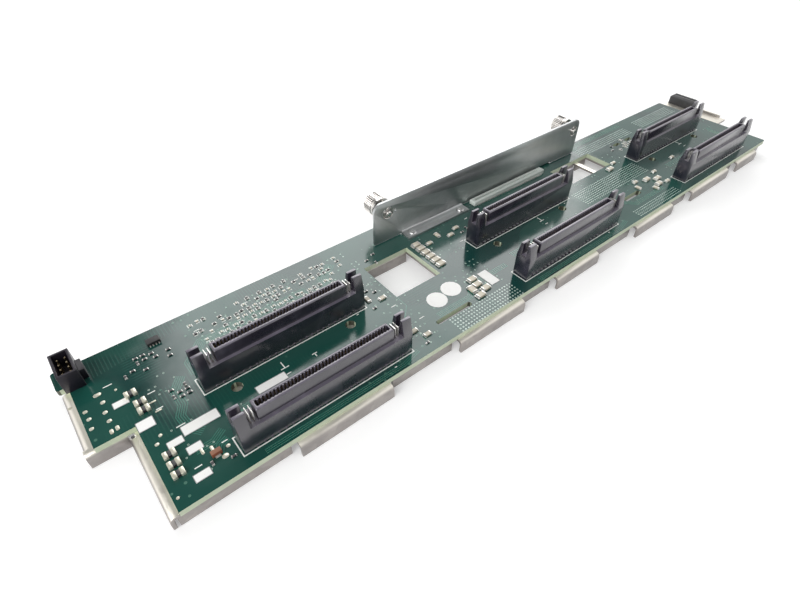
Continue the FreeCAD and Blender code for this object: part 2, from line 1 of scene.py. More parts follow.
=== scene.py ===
import math
import random
import bmesh
import bpy
from mathutils import Matrix, Vector
from mathutils.bvhtree import BVHTree
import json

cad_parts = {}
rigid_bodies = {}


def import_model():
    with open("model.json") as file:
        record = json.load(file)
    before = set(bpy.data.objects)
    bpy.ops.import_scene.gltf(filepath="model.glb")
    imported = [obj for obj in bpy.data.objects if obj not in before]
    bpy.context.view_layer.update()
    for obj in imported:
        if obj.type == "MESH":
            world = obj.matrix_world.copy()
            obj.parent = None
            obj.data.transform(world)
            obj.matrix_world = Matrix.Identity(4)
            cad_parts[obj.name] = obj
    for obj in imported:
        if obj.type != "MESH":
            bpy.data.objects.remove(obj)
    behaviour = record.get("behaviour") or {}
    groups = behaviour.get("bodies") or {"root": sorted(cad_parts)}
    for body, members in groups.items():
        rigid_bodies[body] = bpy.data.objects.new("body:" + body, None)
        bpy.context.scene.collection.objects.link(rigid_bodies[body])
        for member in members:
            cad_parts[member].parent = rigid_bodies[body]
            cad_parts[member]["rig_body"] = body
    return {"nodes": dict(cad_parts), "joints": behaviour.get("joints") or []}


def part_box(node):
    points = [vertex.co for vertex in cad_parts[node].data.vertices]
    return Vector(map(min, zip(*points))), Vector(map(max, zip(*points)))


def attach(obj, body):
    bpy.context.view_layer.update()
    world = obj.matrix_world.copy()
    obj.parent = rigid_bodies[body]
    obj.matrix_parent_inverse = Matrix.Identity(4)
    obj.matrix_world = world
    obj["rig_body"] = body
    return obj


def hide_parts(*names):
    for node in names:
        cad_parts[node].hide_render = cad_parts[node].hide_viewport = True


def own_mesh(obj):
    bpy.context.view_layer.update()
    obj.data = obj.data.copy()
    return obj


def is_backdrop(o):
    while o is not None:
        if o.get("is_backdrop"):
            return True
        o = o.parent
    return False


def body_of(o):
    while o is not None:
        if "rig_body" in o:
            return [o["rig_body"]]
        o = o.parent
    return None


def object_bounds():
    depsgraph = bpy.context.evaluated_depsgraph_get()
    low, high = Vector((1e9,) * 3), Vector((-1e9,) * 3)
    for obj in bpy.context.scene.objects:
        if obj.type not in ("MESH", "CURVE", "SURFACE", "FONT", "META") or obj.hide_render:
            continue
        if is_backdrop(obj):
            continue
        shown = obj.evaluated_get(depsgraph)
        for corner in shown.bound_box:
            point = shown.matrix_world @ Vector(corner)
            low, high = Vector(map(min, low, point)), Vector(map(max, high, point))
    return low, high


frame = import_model()
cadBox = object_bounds()
nodes = frame["nodes"]
mm = 0.001
print("frame loaded:", len(nodes), "nodes")

# lengths below are millimetres; positions on the board run from the front left corner
# of the ink outline round receptacle a1
outlineGap = (0.6, 0.4)
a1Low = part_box("receptacle_a1")[0]
boardBottom, boardTop = (corner.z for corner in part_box("board"))
cornerOnBoard = Vector((a1Low.x - outlineGap[0] * mm, a1Low.y - outlineGap[1] * mm, boardTop))


def onBoard(x, y):
    return cornerOnBoard + Vector((x, y, 0)) * mm


boardMesh = nodes["board"].data
boardTree = BVHTree.FromPolygons([v.co for v in boardMesh.vertices],
                                 [p.vertices for p in boardMesh.polygons])


def overBoard(point):  # false over an opening or past the edge
    hit = boardTree.ray_cast(Vector((point[0], point[1], boardTop + mm)), Vector((0, 0, -1)))[0]
    return hit is not None and abs(hit.z - boardTop) < 0.1 * mm


def maths(operation, *values):
    tree = next(value.tree for value in values if isinstance(value, Wire))
    return tree.add("ShaderNodeMath", {"operation": operation}, dict(enumerate(values)))


class Wire:  # one socket that takes part in sums
    def __init__(self, tree, socket):
        self.tree = tree
        self.socket = socket

    def __add__(self, other):
        return maths("ADD", self, other)

    def __radd__(self, other):
        return maths("ADD", other, self)

    def __sub__(self, other):
        return maths("SUBTRACT", self, other)

    def __rsub__(self, other):
        return maths("SUBTRACT", other, self)

    def __mul__(self, other):
        return maths("MULTIPLY", self, other)

    def __rmul__(self, other):
        return maths("MULTIPLY", other, self)

    def __truediv__(self, other):
        return maths("DIVIDE", self, other)

    def __gt__(self, other):
        return maths("GREATER_THAN", self, other)

    def __lt__(self, other):
        return maths("LESS_THAN", self, other)

    def __abs__(self):
        return maths("ABSOLUTE", self)

    def soft(self, low, high):  # 0 below low, 1 above high
        return self.tree.add("ShaderNodeMapRange", {"interpolation_type": "SMOOTHSTEP"},
                             {"Value": self, "From Min": low, "From Max": high})

    def fraction(self, pitch):
        return maths("FRACT", self / pitch)


class NodeTree:  # a shader or geometry tree built by hand
    def __init__(self, tree):
        self.tree = tree

    def add(self, kind, settings=None, inputs=None, out=0):
        node = self.tree.nodes.new(kind)
        for name, value in (settings or {}).items():
            setattr(node, name, value)
        for key, value in (inputs or {}).items():
            if isinstance(value, Wire):
                self.tree.links.new(value.socket, node.inputs[key])
            else:
                node.inputs[key].default_value = value
        return Wire(self, node.outputs[out])

    def split(self, vector):  # its x, y and z
        node = self.add("ShaderNodeSeparateXYZ", inputs={0: vector}).socket.node
        return [Wire(self, socket) for socket in node.outputs]

    def seenBy(self, *rays):  # 1 for rays of these kinds, otherwise 0
        path = self.add("ShaderNodeLightPath").socket.node
        seen = Wire(self, path.outputs[rays[0]])
        for ray in rays[1:]:
            seen = maths("MAXIMUM", seen, Wire(self, path.outputs[ray]))
        return seen


class Finish(NodeTree):  # a material with its principled shader
    def __init__(self, name, **values):
        self.material = bpy.data.materials.new(name)
        self.material.use_nodes = True
        super().__init__(self.material.node_tree)
        self.shader = self.tree.nodes["Principled BSDF"]
        self.place = self.add("ShaderNodeTexCoord", out="Object")
        for title, value in values.items():
            self.set(title.replace("_", " "), value)

    def set(self, title, value):
        socket = self.shader.inputs[title]
        if isinstance(value, Wire):
            self.tree.links.new(value.socket, socket)
        elif isinstance(value, tuple):
            socket.default_value = (*value, 1)
        else:
            socket.default_value = value

    def axes(self):  # the place on the object in mm
        return [part * 1000 for part in self.split(self.place)]

    def faces(self):  # how far the surface looks along x, y and z
        return self.split(self.add("ShaderNodeTexCoord", out="Normal"))

    def stretched(self, x, y, z):
        return self.add("ShaderNodeMapping", inputs={"Vector": self.place, "Scale": (x, y, z)})

    def noise(self, scale, detail=2.0, roughness=0.5, place=None):
        return self.add("ShaderNodeTexNoise", inputs={
            "Vector": place or self.place, "Scale": scale, "Detail": detail,
            "Roughness": roughness})

    def cells(self, scale, out, randomness=1.0):
        return self.add("ShaderNodeTexVoronoi", inputs={
            "Vector": self.place, "Scale": scale, "Randomness": randomness}, out=out)

    def mix(self, factor, low, high):
        low, high = (value if isinstance(value, Wire) else (*value, 1) for value in (low, high))
        return self.add("ShaderNodeMix", {"data_type": "RGBA"},
                        {0: factor, 6: low, 7: high}, out=2)

    def bump(self, height, strength, distance):
        self.set("Normal", self.add("ShaderNodeBump", inputs={
            "Height": height, "Strength": strength, "Distance": distance * mm}))


# finishes

# the colour under "bore" is painted shade for the inside of round holes
mask = {"level": 0.7, "gloss": 0.11, "haze": 0.12, "edgeRoughness": 0.4, "linePitch": 1.27,
        "lineWidth": 0.3, "viaCells": 260, "viaSize": 0.14, "viaColour": (0.12, 0.27, 0.20),
        "tint": (0.035, 0.12, 0.09), "weavePitch": 0.9, "layerPitch": 0.4,
        "laminate": (0.58, 0.64, 0.50), "laminateDark": (0.40, 0.47, 0.30),
        "bore": (0.03, 0.03, 0.015), "bumpDepth": 0.04}


def makeMaskFinish(name, bare, overCopper, patterned):
    finish = Finish(name, Specular_IOR_Level=mask["level"])
    x, y, z = finish.axes()
    lookX, lookY, lookZ = finish.faces()
    haze = finish.noise(38, 3)
    if patterned:  # copper areas, lines and vias that show through the mask
        copper = finish.noise(24, 1.5, 0.4).soft(0.47, 0.50) * 0.75
        for axis, scale, span, stretch in ((x, 31, (0.54, 0.57), (0.5, 1.4, 1)),
                                           (y, 27, (0.56, 0.60), (1.3, 0.6, 1))):
            area = finish.noise(scale, 1, 0.5, finish.stretched(*stretch)).soft(*span)
            lines = axis.fraction(mask["linePitch"]) < mask["lineWidth"]
            copper = maths("MAXIMUM", copper, lines * area)
        dots = finish.cells(mask["viaCells"], "Distance", 0.75) < mask["viaSize"]
        vias = dots * finish.noise(45, 1).soft(0.5, 0.56)
        green = finish.mix(copper, bare, overCopper)
        green = finish.mix(vias * 0.5, green, mask["viaColour"])
        relief = copper * 0.6 + vias * 0.8
    else:
        green = finish.mix(haze, overCopper, bare)
        relief = haze
    green = finish.mix(haze.soft(0.45, 0.75) * 0.2, green, mask["tint"])
    edge = abs(lookZ) < 0.5
    layers = z.fraction(mask["layerPitch"]).soft(0.1, 0.4) * finish.noise(400, 2)
    laminate = finish.mix(layers, mask["laminate"], mask["laminateDark"])
    bore = abs(lookX * lookY) > 0.04  # painted shade: round walls get a near-black colour standing in for the shadow inside holes
    laminate = finish.mix(bore * 0.94, laminate, mask["bore"])
    finish.set("Base Color", finish.mix(edge, green, laminate))
    finish.set("Roughness", edge * mask["edgeRoughness"] + mask["gloss"]
               + finish.noise(90, 4).soft(0.4, 0.8) * mask["haze"])
    weave = (x.fraction(mask["weavePitch"]) - 0.5) * (y.fraction(mask["weavePitch"]) - 0.5)
    finish.bump(relief + weave * 0.3 + finish.noise(700, 2) * 0.15, 0.2, mask["bumpDepth"])
    return finish.material


def makeMetalFinish(name, colour, shade, roughness, spread=0.2, grain=(1, 1, 1), metallic=1.0,
                    scale=300, stain=(0.45, 0.36, 0.26), stained=0.15, spangle=0.0, top=None):
    finish = Finish(name)
    lines = finish.noise(scale * 8, 3, 0.6, finish.stretched(*grain))
    cloud = finish.noise(scale, 4, 0.55)
    body = finish.mix(cloud.soft(0.3, 0.7), colour, shade)
    if spangle:  # zinc crystals, a few millimetres across
        tone = finish.split(finish.cells(330, "Color"))[0]
        body = finish.mix(tone * spangle, body, shade)
        lines = lines * 0.6 + tone * 0.4
    if top:  # painted highlight: faces that look up get a lighter colour, standing in for strong light falling on them
        body = finish.mix(finish.faces()[2].soft(0.45, 0.9), body, top)
    spots = finish.noise(scale * 3, 5, 0.7).soft(0.62, 0.8) * stained
    finish.set("Base Color", finish.mix(spots, body, stain))
    finish.set("Metallic", metallic - spots * 0.8)
    finish.set("Roughness", roughness + (lines - 0.5) * spread + spots * 0.3)
    finish.bump(lines + cloud * 0.3, 0.3, 0.02)
    return finish.material


def makePlasticFinish(name, colour, dustAndSheenColour, roughness, grain=900, level=0.5, coat=0.0):
    finish = Finish(name, Specular_IOR_Level=level, Coat_Weight=coat, Coat_Roughness=0.22)
    dust = finish.noise(140, 4, 0.6).soft(0.45, 0.85)
    streak = finish.noise(60, 3, 0.5, finish.stretched(1, 1, 0.3)).soft(0.4, 0.8)
    # up-facing faces get the lighter colour: part settled dust, part painted sheen standing in for
    # light on top faces
    dustAndTopSheen = dust * 0.2 + finish.faces()[2].soft(0.35, 0.95) * (dust * 0.3 + 0.55)
    finish.set("Base Color", finish.mix(dustAndTopSheen, colour, dustAndSheenColour))
    finish.set("Roughness", roughness + streak * 0.12 + dustAndTopSheen * 0.15)
    finish.bump(finish.noise(grain, 3, 0.6) + dust * 0.2, 0.2, 0.03)
    return finish.material


def makePaintFinish(name, colour, worn, roughness):
    finish = Finish(name)
    patches = finish.noise(1500, 3, 0.6).soft(0.55, 0.75)
    finish.set("Base Color", finish.mix(patches * 0.6, colour, worn))
    finish.set("Roughness", roughness + patches * 0.2)
    finish.bump(patches, 0.3, 0.01)
    return finish.material


maskGreen = makeMaskFinish("solderMask", (0.004, 0.042, 0.036), (0.009, 0.070, 0.054), True)
traceGreen = makeMaskFinish("maskOverTrace", (0.022, 0.14, 0.10), (0.035, 0.19, 0.14), False)
# its top colour is a painted highlight on faces that look up
zincSheet = makeMetalFinish(
    "galvanisedSheet", (0.40, 0.37, 0.35), (0.29, 0.27, 0.26), 0.38, 0.25, metallic=0.8, scale=90,
    stain=(0.46, 0.33, 0.24), stained=0.25, spangle=0.45, top=(0.90, 0.86, 0.77))
bracketSteel = makeMetalFinish(
    "bracketSteel", (0.60, 0.61, 0.61), (0.48, 0.50, 0.50), 0.40, 0.12, (0.05, 1, 1), scale=50)
nickelPlate = makeMetalFinish(
    "nickelPlate", (0.86, 0.83, 0.80), (0.72, 0.70, 0.67), 0.16, 0.15, (1, 0.1, 1), scale=120)
springWire = makeMetalFinish("springWire", (0.62, 0.61, 0.60), (0.42, 0.42, 0.42), 0.28)
rivetMetal = makeMetalFinish("rivetMetal", (0.72, 0.72, 0.72), (0.55, 0.55, 0.54), 0.3)
contactMetal = makeMetalFinish(
    "contactPlating", (0.78, 0.66, 0.46), (0.62, 0.5, 0.32), 0.26, grain=(1, 1, 0.2), scale=250)
solderTin = makeMetalFinish(
    "solderTin", (0.84, 0.83, 0.80), (0.68, 0.67, 0.63), 0.3, 0.25, metallic=0.85, scale=400)
viaPlating = makeMetalFinish(
    "viaPlating", (0.42, 0.53, 0.46), (0.26, 0.38, 0.32), 0.36, metallic=0.4)
fieldPlating = makeMetalFinish(
    "fieldPlating", (0.66, 0.76, 0.70), (0.44, 0.56, 0.50), 0.36, metallic=0.3)
padGold = makeMetalFinish(
    "padTin", (0.86, 0.84, 0.72), (0.74, 0.72, 0.58), 0.34, metallic=0.6, scale=500)
blackPlastic = makePlasticFinish(
    "blackMoulding", (0.015, 0.012, 0.022), (0.20, 0.18, 0.23), 0.25, level=0.9, coat=0.8)
headerPlastic = makePlasticFinish(
    "headerMoulding", (0.010, 0.008, 0.014), (0.045, 0.04, 0.05), 0.36, level=0.3, coat=0.1)
# painted highlight: a lighter copy of the black moulding for the comb ribs, standing in for light
# catching their rims
ribPlasticHighlighted = makePlasticFinish(
    "ribMoulding", (0.11, 0.10, 0.125), (0.30, 0.28, 0.33), 0.3, level=0.8, coat=0.4)
greyPlastic = makePlasticFinish("greyMoulding", (0.03, 0.03, 0.032), (0.13, 0.13, 0.13), 0.4)
ivoryPlastic = makePlasticFinish("ivoryMoulding", (0.60, 0.65, 0.61), (0.50, 0.54, 0.51), 0.42)
chipEpoxy = makePlasticFinish("chipEpoxy", (0.012, 0.012, 0.013), (0.06, 0.06, 0.06), 0.45, 1600)
ceramicTan = makePlasticFinish("ceramicTan", (0.58, 0.53, 0.42), (0.66, 0.62, 0.53), 0.5, 1600)
resistorBlack = makePlasticFinish("resistorBody", (0.02, 0.02, 0.024), (0.1, 0.1, 0.1), 0.3, 1600)
capacitorRed = makePlasticFinish("tantalumBody", (0.22, 0.07, 0.035), (0.3, 0.16, 0.1), 0.42, 1600)
whiteInk = makePaintFinish("whiteInk", (0.82, 0.84, 0.80), (0.45, 0.55, 0.48), 0.55)
labelPaper = makePaintFinish("labelPaper", (0.86, 0.86, 0.84), (0.74, 0.73, 0.7), 0.6)
labelEdge = makePaintFinish("labelBorder", (0.34, 0.35, 0.35), (0.5, 0.5, 0.5), 0.6)
dotPaper = makePaintFinish("dotPaper", (0.88, 0.88, 0.86), (0.78, 0.77, 0.74), 0.65)
print("finishes made")

# tools for meshes

def meshFrom(name, verts, faces):
    mesh = bpy.data.meshes.new(name)
    mesh.from_pydata([Vector(v) * mm for v in verts], [], faces)
    return mesh


meshLimits = {"smoothAngle": 32, "flatAngle": 0.5, "weld": 1e-6, "mitre": 0.4}


def smoothBy(mesh):
    mesh.polygons.foreach_set("use_smooth", [True] * len(mesh.polygons))
    mesh.set_sharp_from_angle(angle=math.radians(meshLimits["smoothAngle"]))
    return mesh


def addObject(name, data):
    added = bpy.data.objects.new(name, data)
    bpy.context.scene.collection.objects.link(added)
    return added


def evaluatedMesh(holder, name):
    graph = bpy.context.evaluated_depsgraph_get()
    mesh = bpy.data.meshes.new_from_object(holder.evaluated_get(graph), depsgraph=graph)
    mesh.name = name
    bpy.data.objects.remove(holder)
    return mesh


def holderOf(mesh):
    return addObject("holder", mesh)


def bodyOf(node):
    return body_of(nodes[node])[0]


def settle(name, mesh, finish, body="backplane", replaced=(), at=None):
    if at is not None:
        mesh.transform(Matrix.Translation(at))
    mesh.materials.clear()
    mesh.materials.append(finish)
    piece = addObject(name, mesh)
    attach(piece, body)
    if replaced:
        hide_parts(*replaced)
    return piece


def meshOf(made, name, outward=False):
    if outward:
        bmesh.ops.recalc_face_normals(made, faces=made.faces)
    mesh = bpy.data.meshes.new(name)
    made.to_mesh(mesh)
    made.free()
    return mesh


def opened(*meshes):  # for editing, all in one
    made = bmesh.new()
    for mesh in meshes:
        made.from_mesh(mesh)
    return made


def joinMeshes(name, meshes):
    return meshOf(opened(*meshes), name)


def moved(mesh, x, y, z):  # by millimetres
    mesh.transform(Matrix.Translation(Vector((x, y, z)) * mm))
    return mesh


def placed(mesh, x=0, y=0):  # from its own origin to a place on the board
    mesh.transform(Matrix.Translation(onBoard(x, y)))
    return mesh


def bevelled(mesh, width, segments=2, angle=35):
    holder = holderOf(mesh)
    bevel = holder.modifiers.new("bevel", "BEVEL")
    bevel.width = width * mm
    bevel.segments = segments
    bevel.limit_method = "ANGLE"
    bevel.angle_limit = math.radians(angle)
    bevel.use_clamp_overlap = True
    return smoothBy(evaluatedMesh(holder, mesh.name))


def weldedCopy(node):
    made = opened(nodes[node].data)
    bmesh.ops.remove_doubles(made, verts=made.verts, dist=meshLimits["weld"])
    return made


def softCopy(node, width, segments=2):  # a CAD piece with its sharp edges broken
    made = weldedCopy(node)
    bmesh.ops.dissolve_limit(made, angle_limit=math.radians(meshLimits["flatAngle"]),
                             verts=made.verts, edges=made.edges)
    mesh = meshOf(made, node + "_soft")
    for layer in [a.name for a in mesh.attributes if a.name == "custom_normal"]:
        mesh.attributes.remove(mesh.attributes[layer])
    return bevelled(mesh, width, segments)


def soften(name, node, width, finish, segments=2):
    settle(name, softCopy(node, width, segments), finish, replaced=[node])


def groupsOf(made):  # the joined-up sets of corners
    seen, groups = set(), []
    for start in made.verts:
        if start in seen:
            continue
        stack, group = [start], []
        seen.add(start)
        while stack:
            vert = stack.pop()
            group.append(vert)
            for edge in vert.link_edges:
                other = edge.other_vert(vert)
                if other not in seen:
                    seen.add(other)
                    stack.append(other)
        groups.append(group)
    return groups


def islands(node):  # box of each solid of a node, in mm
    made = weldedCopy(node)
    boxes = [tuple(Vector(pick(v.co[i] for v in group) for i in range(3)) / mm
                   for pick in (min, max)) for group in groupsOf(made)]
    made.free()
    return boxes


def keepOverBoard(mesh):  # drops each part that would hang over an opening
    made = opened(mesh)
    lost = [v for group in groupsOf(made) if not all(overBoard(v.co) for v in group[::3])
            for v in group]
    bmesh.ops.delete(made, geom=lost, context="VERTS")
    made.to_mesh(mesh)
    made.free()
    return mesh


def addBlock(made, low, high):
    corners = [Vector((x, y, z)) * mm
               for z in (low[2], high[2]) for y in (low[1], high[1]) for x in (low[0], high[0])]
    verts = [made.verts.new(c) for c in corners]
    for face in ((0, 2, 3, 1), (4, 5, 7, 6), (0, 1, 5, 4),
                 (2, 6, 7, 3), (0, 4, 6, 2), (1, 3, 7, 5)):
        made.faces.new([verts[i] for i in face])


def blockMesh(name, blocks, bevel=0.0, segments=2):
    made = bmesh.new()
    for low, high in blocks:
        addBlock(made, low, high)
    mesh = meshOf(made, name)
    return bevelled(mesh, bevel, segments) if bevel else mesh


def addTube(made, rings, closed=False):  # skins rings of four corners
    for near, far in zip(rings, rings[1:] + (rings[:1] if closed else [])):
        for k in range(4):
            after = (k + 1) % 4
            made.faces.new((near[k], near[after], far[after], far[k]))
    if not closed:
        made.faces.new(rings[0][::-1])
        made.faces.new(rings[-1])


def tubeMesh(name, rings):
    made = bmesh.new()
    addTube(made, [[made.verts.new(Vector(p) * mm) for p in ring] for ring in rings])
    return meshOf(made, name, True)


def mitres(line, closed=False):  # at each point, the step sideways that keeps a gap of one
    steps = []
    for i in range(len(line)):
        before = line[i] - line[i - 1] if i or closed else line[1] - line[0]
        after = line[(i + 1) % len(line)] - line[i] if i < len(line) - 1 or closed else before
        before, after = before.normalized(), after.normalized()
        across = Vector((-(before + after).y, (before + after).x)).normalized()
        spread = across.dot(Vector((-before.y, before.x)))
        steps.append(across / max(meshLimits["mitre"], spread))
    return steps


def addRibbon(made, points, width, thickness, closed=False):  # a flat mitred line
    line = [Vector(p) for p in points]
    rings = []
    for point, step in zip(line, mitres(line, closed)):
        left, right = point + step * width / 2, point - step * width / 2
        rings.append([made.verts.new(Vector((p.x, p.y, z)) * mm) for p, z in (
            (left, 0), (left, thickness), (right, thickness), (right, 0))])
    addTube(made, rings, closed)


def ribbonMesh(name, lines, width, thickness, closed=False):
    made = bmesh.new()
    for points in lines:
        addRibbon(made, points, width, thickness, closed)
    return meshOf(made, name, True)


def turnedMesh(name, profile, segments, closed=True, start=0.0, sweep=360.0):
    # profile of (radius, y) turned round the Y axis
    made = bmesh.new()
    full = sweep >= 360
    count = segments if full else segments + 1
    rings = []
    for i in range(count):
        angle = math.radians(start + sweep * i / segments)
        rings.append([made.verts.new(Vector((r * math.cos(angle), y, r * math.sin(angle))) * mm)
                      for r, y in profile])
    steps = range(len(profile) if closed else len(profile) - 1)
    for i in range(segments):
        near, far = rings[i], rings[(i + 1) % count]
        for k in steps:
            after = (k + 1) % len(profile)
            made.faces.new((near[k], near[after], far[after], far[k]))
    if not full:
        made.faces.new(rings[0])
        made.faces.new(rings[-1][::-1])
    bmesh.ops.remove_doubles(made, verts=made.verts, dist=1e-7)
    bmesh.ops.dissolve_degenerate(made, edges=made.edges, dist=1e-8)
    return smoothBy(meshOf(made, name, True))


# geometry node trees

def newGroup(name, **inputs):
    group = bpy.data.node_groups.new(name, "GeometryNodeTree")
    for title, kind in {**inputs, "Finish": "Material"}.items():
        group.interface.new_socket(title, in_out="INPUT", socket_type="NodeSocket" + kind)
    group.interface.new_socket("Geometry", in_out="OUTPUT", socket_type="NodeSocketGeometry")
    tree = NodeTree(group)
    return tree, lambda title: tree.add("NodeGroupInput", out=title)


def spun(tree, **angles):
    return tree.add("FunctionNodeEulerToRotation", inputs={
        0: tree.add("ShaderNodeCombineXYZ", inputs=angles)})


def partsOn(tree, given, points, **inputs):
    part = tree.add("GeometryNodeObjectInfo", inputs={
        "Object": given("Part"), "As Instance": True}, out="Geometry")
    return tree.add("GeometryNodeInstanceOnPoints", inputs={
        "Points": points, "Instance": part, **inputs})


def endGroup(tree, given, geometry):
    whole = tree.add("GeometryNodeRealizeInstances", inputs={0: geometry})
    painted = tree.add("GeometryNodeSetMaterial", inputs={
        "Geometry": whole, "Material": given("Finish")})
    last = tree.tree.nodes.new("NodeGroupOutput")
    tree.tree.links.new(painted.socket, last.inputs[0])
    return tree.tree


def makeRowsTree():
    tree, given = newGroup("rowsOfParts", Part="Object", Columns="Int", Rows="Int",
                           ColumnPitch="Float", RowPitch="Float", Keep="Float", Seed="Int")
    index = tree.add("GeometryNodeInputIndex")
    columns = given("Columns")
    column = maths("MODULO", index, columns)
    row = maths("FLOOR", index / columns + 0.0001)
    place = tree.add("ShaderNodeCombineXYZ", inputs={
        "X": column * given("ColumnPitch"), "Y": row * given("RowPitch")})
    points = tree.add("GeometryNodePoints", inputs={
        "Count": columns * given("Rows"), "Position": place, "Radius": 0.001})
    dropped = tree.add("FunctionNodeRandomValue", {"data_type": "BOOLEAN"}, {
        "Probability": 1 - given("Keep"), "Seed": given("Seed")}, out=3)
    kept = tree.add("GeometryNodeDeleteGeometry", {"domain": "POINT"}, {
        "Geometry": points, "Selection": dropped})
    return endGroup(tree, given, partsOn(tree, given, kept))


def makePlacesTree():
    tree, given = newGroup("partsAtPlaces", Places="Geometry", Part="Object")
    turn = tree.add("GeometryNodeInputNamedAttribute", {"data_type": "FLOAT"}, {"Name": "turn"})
    return endGroup(tree, given, partsOn(
        tree, given, given("Places"), Rotation=spun(tree, Z=turn)))


def makeRingTree():
    tree, given = newGroup("ringOfParts", Part="Object", Count="Int", Radius="Float")
    count = given("Count")
    angle = tree.add("GeometryNodeInputIndex") / count * math.tau
    radius = given("Radius")
    place = tree.add("ShaderNodeCombineXYZ", inputs={
        "X": radius * maths("COSINE", angle), "Z": radius * maths("SINE", angle)})
    points = tree.add("GeometryNodePoints", inputs={
        "Count": count, "Position": place, "Radius": 0.001})
    return endGroup(tree, given, partsOn(
        tree, given, points, Rotation=spun(tree, Y=0 - angle)))


def makeCoilTree():
    tree, given = newGroup("coiledWire", Turns="Float", Radius="Float", Wire="Float",
                           Length="Float", Steps="Int")
    radius = given("Radius")
    spiral = tree.add("GeometryNodeCurveSpiral", inputs={
        "Resolution": given("Steps"), "Rotations": given("Turns"), "Start Radius": radius,
        "End Radius": radius, "Height": given("Length")})
    section = tree.add("GeometryNodeCurvePrimitiveCircle", {"mode": "RADIUS"}, {
        "Resolution": 8, "Radius": given("Wire")})
    wire = tree.add("GeometryNodeCurveToMesh", inputs={
        "Curve": spiral, "Profile Curve": section, "Fill Caps": True})
    laid = tree.add("GeometryNodeTransform", inputs={
        "Geometry": wire, "Rotation": (-math.pi / 2, 0, 0)})
    return endGroup(tree, given, laid)


rowsTree = makeRowsTree()
placesTree = makePlacesTree()
ringTree = makeRingTree()
coilTree = makeCoilTree()


def grow(name, tree, base=None, **values):  # runs a tree and keeps a plain mesh
    holder = holderOf(base or bpy.data.meshes.new(name))
    maker = holder.modifiers.new("maker", "NODES")
    maker.node_group = tree
    for item in tree.interface.items_tree:
        if item.in_out == "INPUT" and item.name in values:
            maker[item.identifier] = values[item.name]
    mesh = evaluatedMesh(holder, name)
    if "Part" in values:
        bpy.data.objects.remove(values["Part"])
    return smoothBy(mesh)


def growRows(name, partMesh, columns, rows, columnPitch, rowPitch, finish, keep=1.0, seed=1):
    return grow(name, rowsTree, Part=holderOf(partMesh), Columns=columns, Rows=rows,
                ColumnPitch=columnPitch * mm, RowPitch=rowPitch * mm, Keep=keep, Seed=seed,
                Finish=finish)


def firstOf(middle, count, pitch):  # where a centred row starts
    return middle - (count - 1) * pitch / 2


def settleRows(name, rows, finish, replaced=()):
    # rows along x of (part, count, pitch, place of the first)
    settle(name, joinMeshes(name, [
        moved(growRows("row", part, count, 1, pitch, 1, finish), *place)
        for part, count, pitch, place in rows]), finish, replaced=replaced)


def growAt(name, partMesh, places, finish):  # places of (x, y, degrees) on the board
    base = bpy.data.meshes.new(name + "_places")
    base.from_pydata([onBoard(x, y) for x, y, turn in places], [], [])
    turns = base.attributes.new("turn", "FLOAT", "POINT")
    turns.data.foreach_set("value", [math.radians(turn) for x, y, turn in places])
    return grow(name, placesTree, base, Part=holderOf(partMesh), Finish=finish)


print("trees made")

# board and stiffener

def carry(node, finish):  # a CAD piece kept as it is, with its own finish
    mesh = nodes[node].data
    mesh.materials.clear()
    mesh.materials.append(finish)


carry("board", maskGreen)
sheetLook = {"stiffenerBevel": 0.18, "bracketBevel": 0.22}
soften("stiffener_sheet", "stiffener", sheetLook["stiffenerBevel"], zincSheet)
soften("bracket_plate", "bracket", sheetLook["bracketBevel"], bracketSteel)
print("sheet metal done")

# drive receptacles

receptacle = {
    "names": ("a1", "a2", "a3", "b1", "b2", "b3"), "bevel": 0.22,
    "contacts": 40, "pitch": 1.27, "contactWidth": 0.6, "wireThickness": 0.25,
    "slotWidth": 2.5, "combDepth": 0.45, "slotFloor": 9.4, "rim": 0.8, "towerHeight": 15.4,
    "ribReach": 0.3, "ribWidth": 0.6, "tailRows": 3.8, "tailLength": 1.3,
    "footRibPitch": 2.54, "footRibWidth": 0.8, "footRibHeight": 1.5, "footRibReach": 0.28,
    "leaf": ((0.0, 0.0), (0.0, 6.0), (0.0, 9.6), (0.25, 11.4), (0.38, 12.6), (0.30, 13.4)),
    "leafTip": 0.1, "footEnds": 6}


def contactPart(side):
    # a leaf that stands in its channel, bows into the slot and turns back at the tip
    half, thick = receptacle["contactWidth"] / 2, receptacle["wireThickness"]
    top = receptacle["towerHeight"] - receptacle["rim"] - 0.2
    return tubeMesh("contactPart", [
        [(x, side * (y + depth), z)
         for x, depth in ((-half, 0), (half, 0), (half, thick), (-half, thick))]
        for y, z in (*receptacle["leaf"], (receptacle["leafTip"], top))])


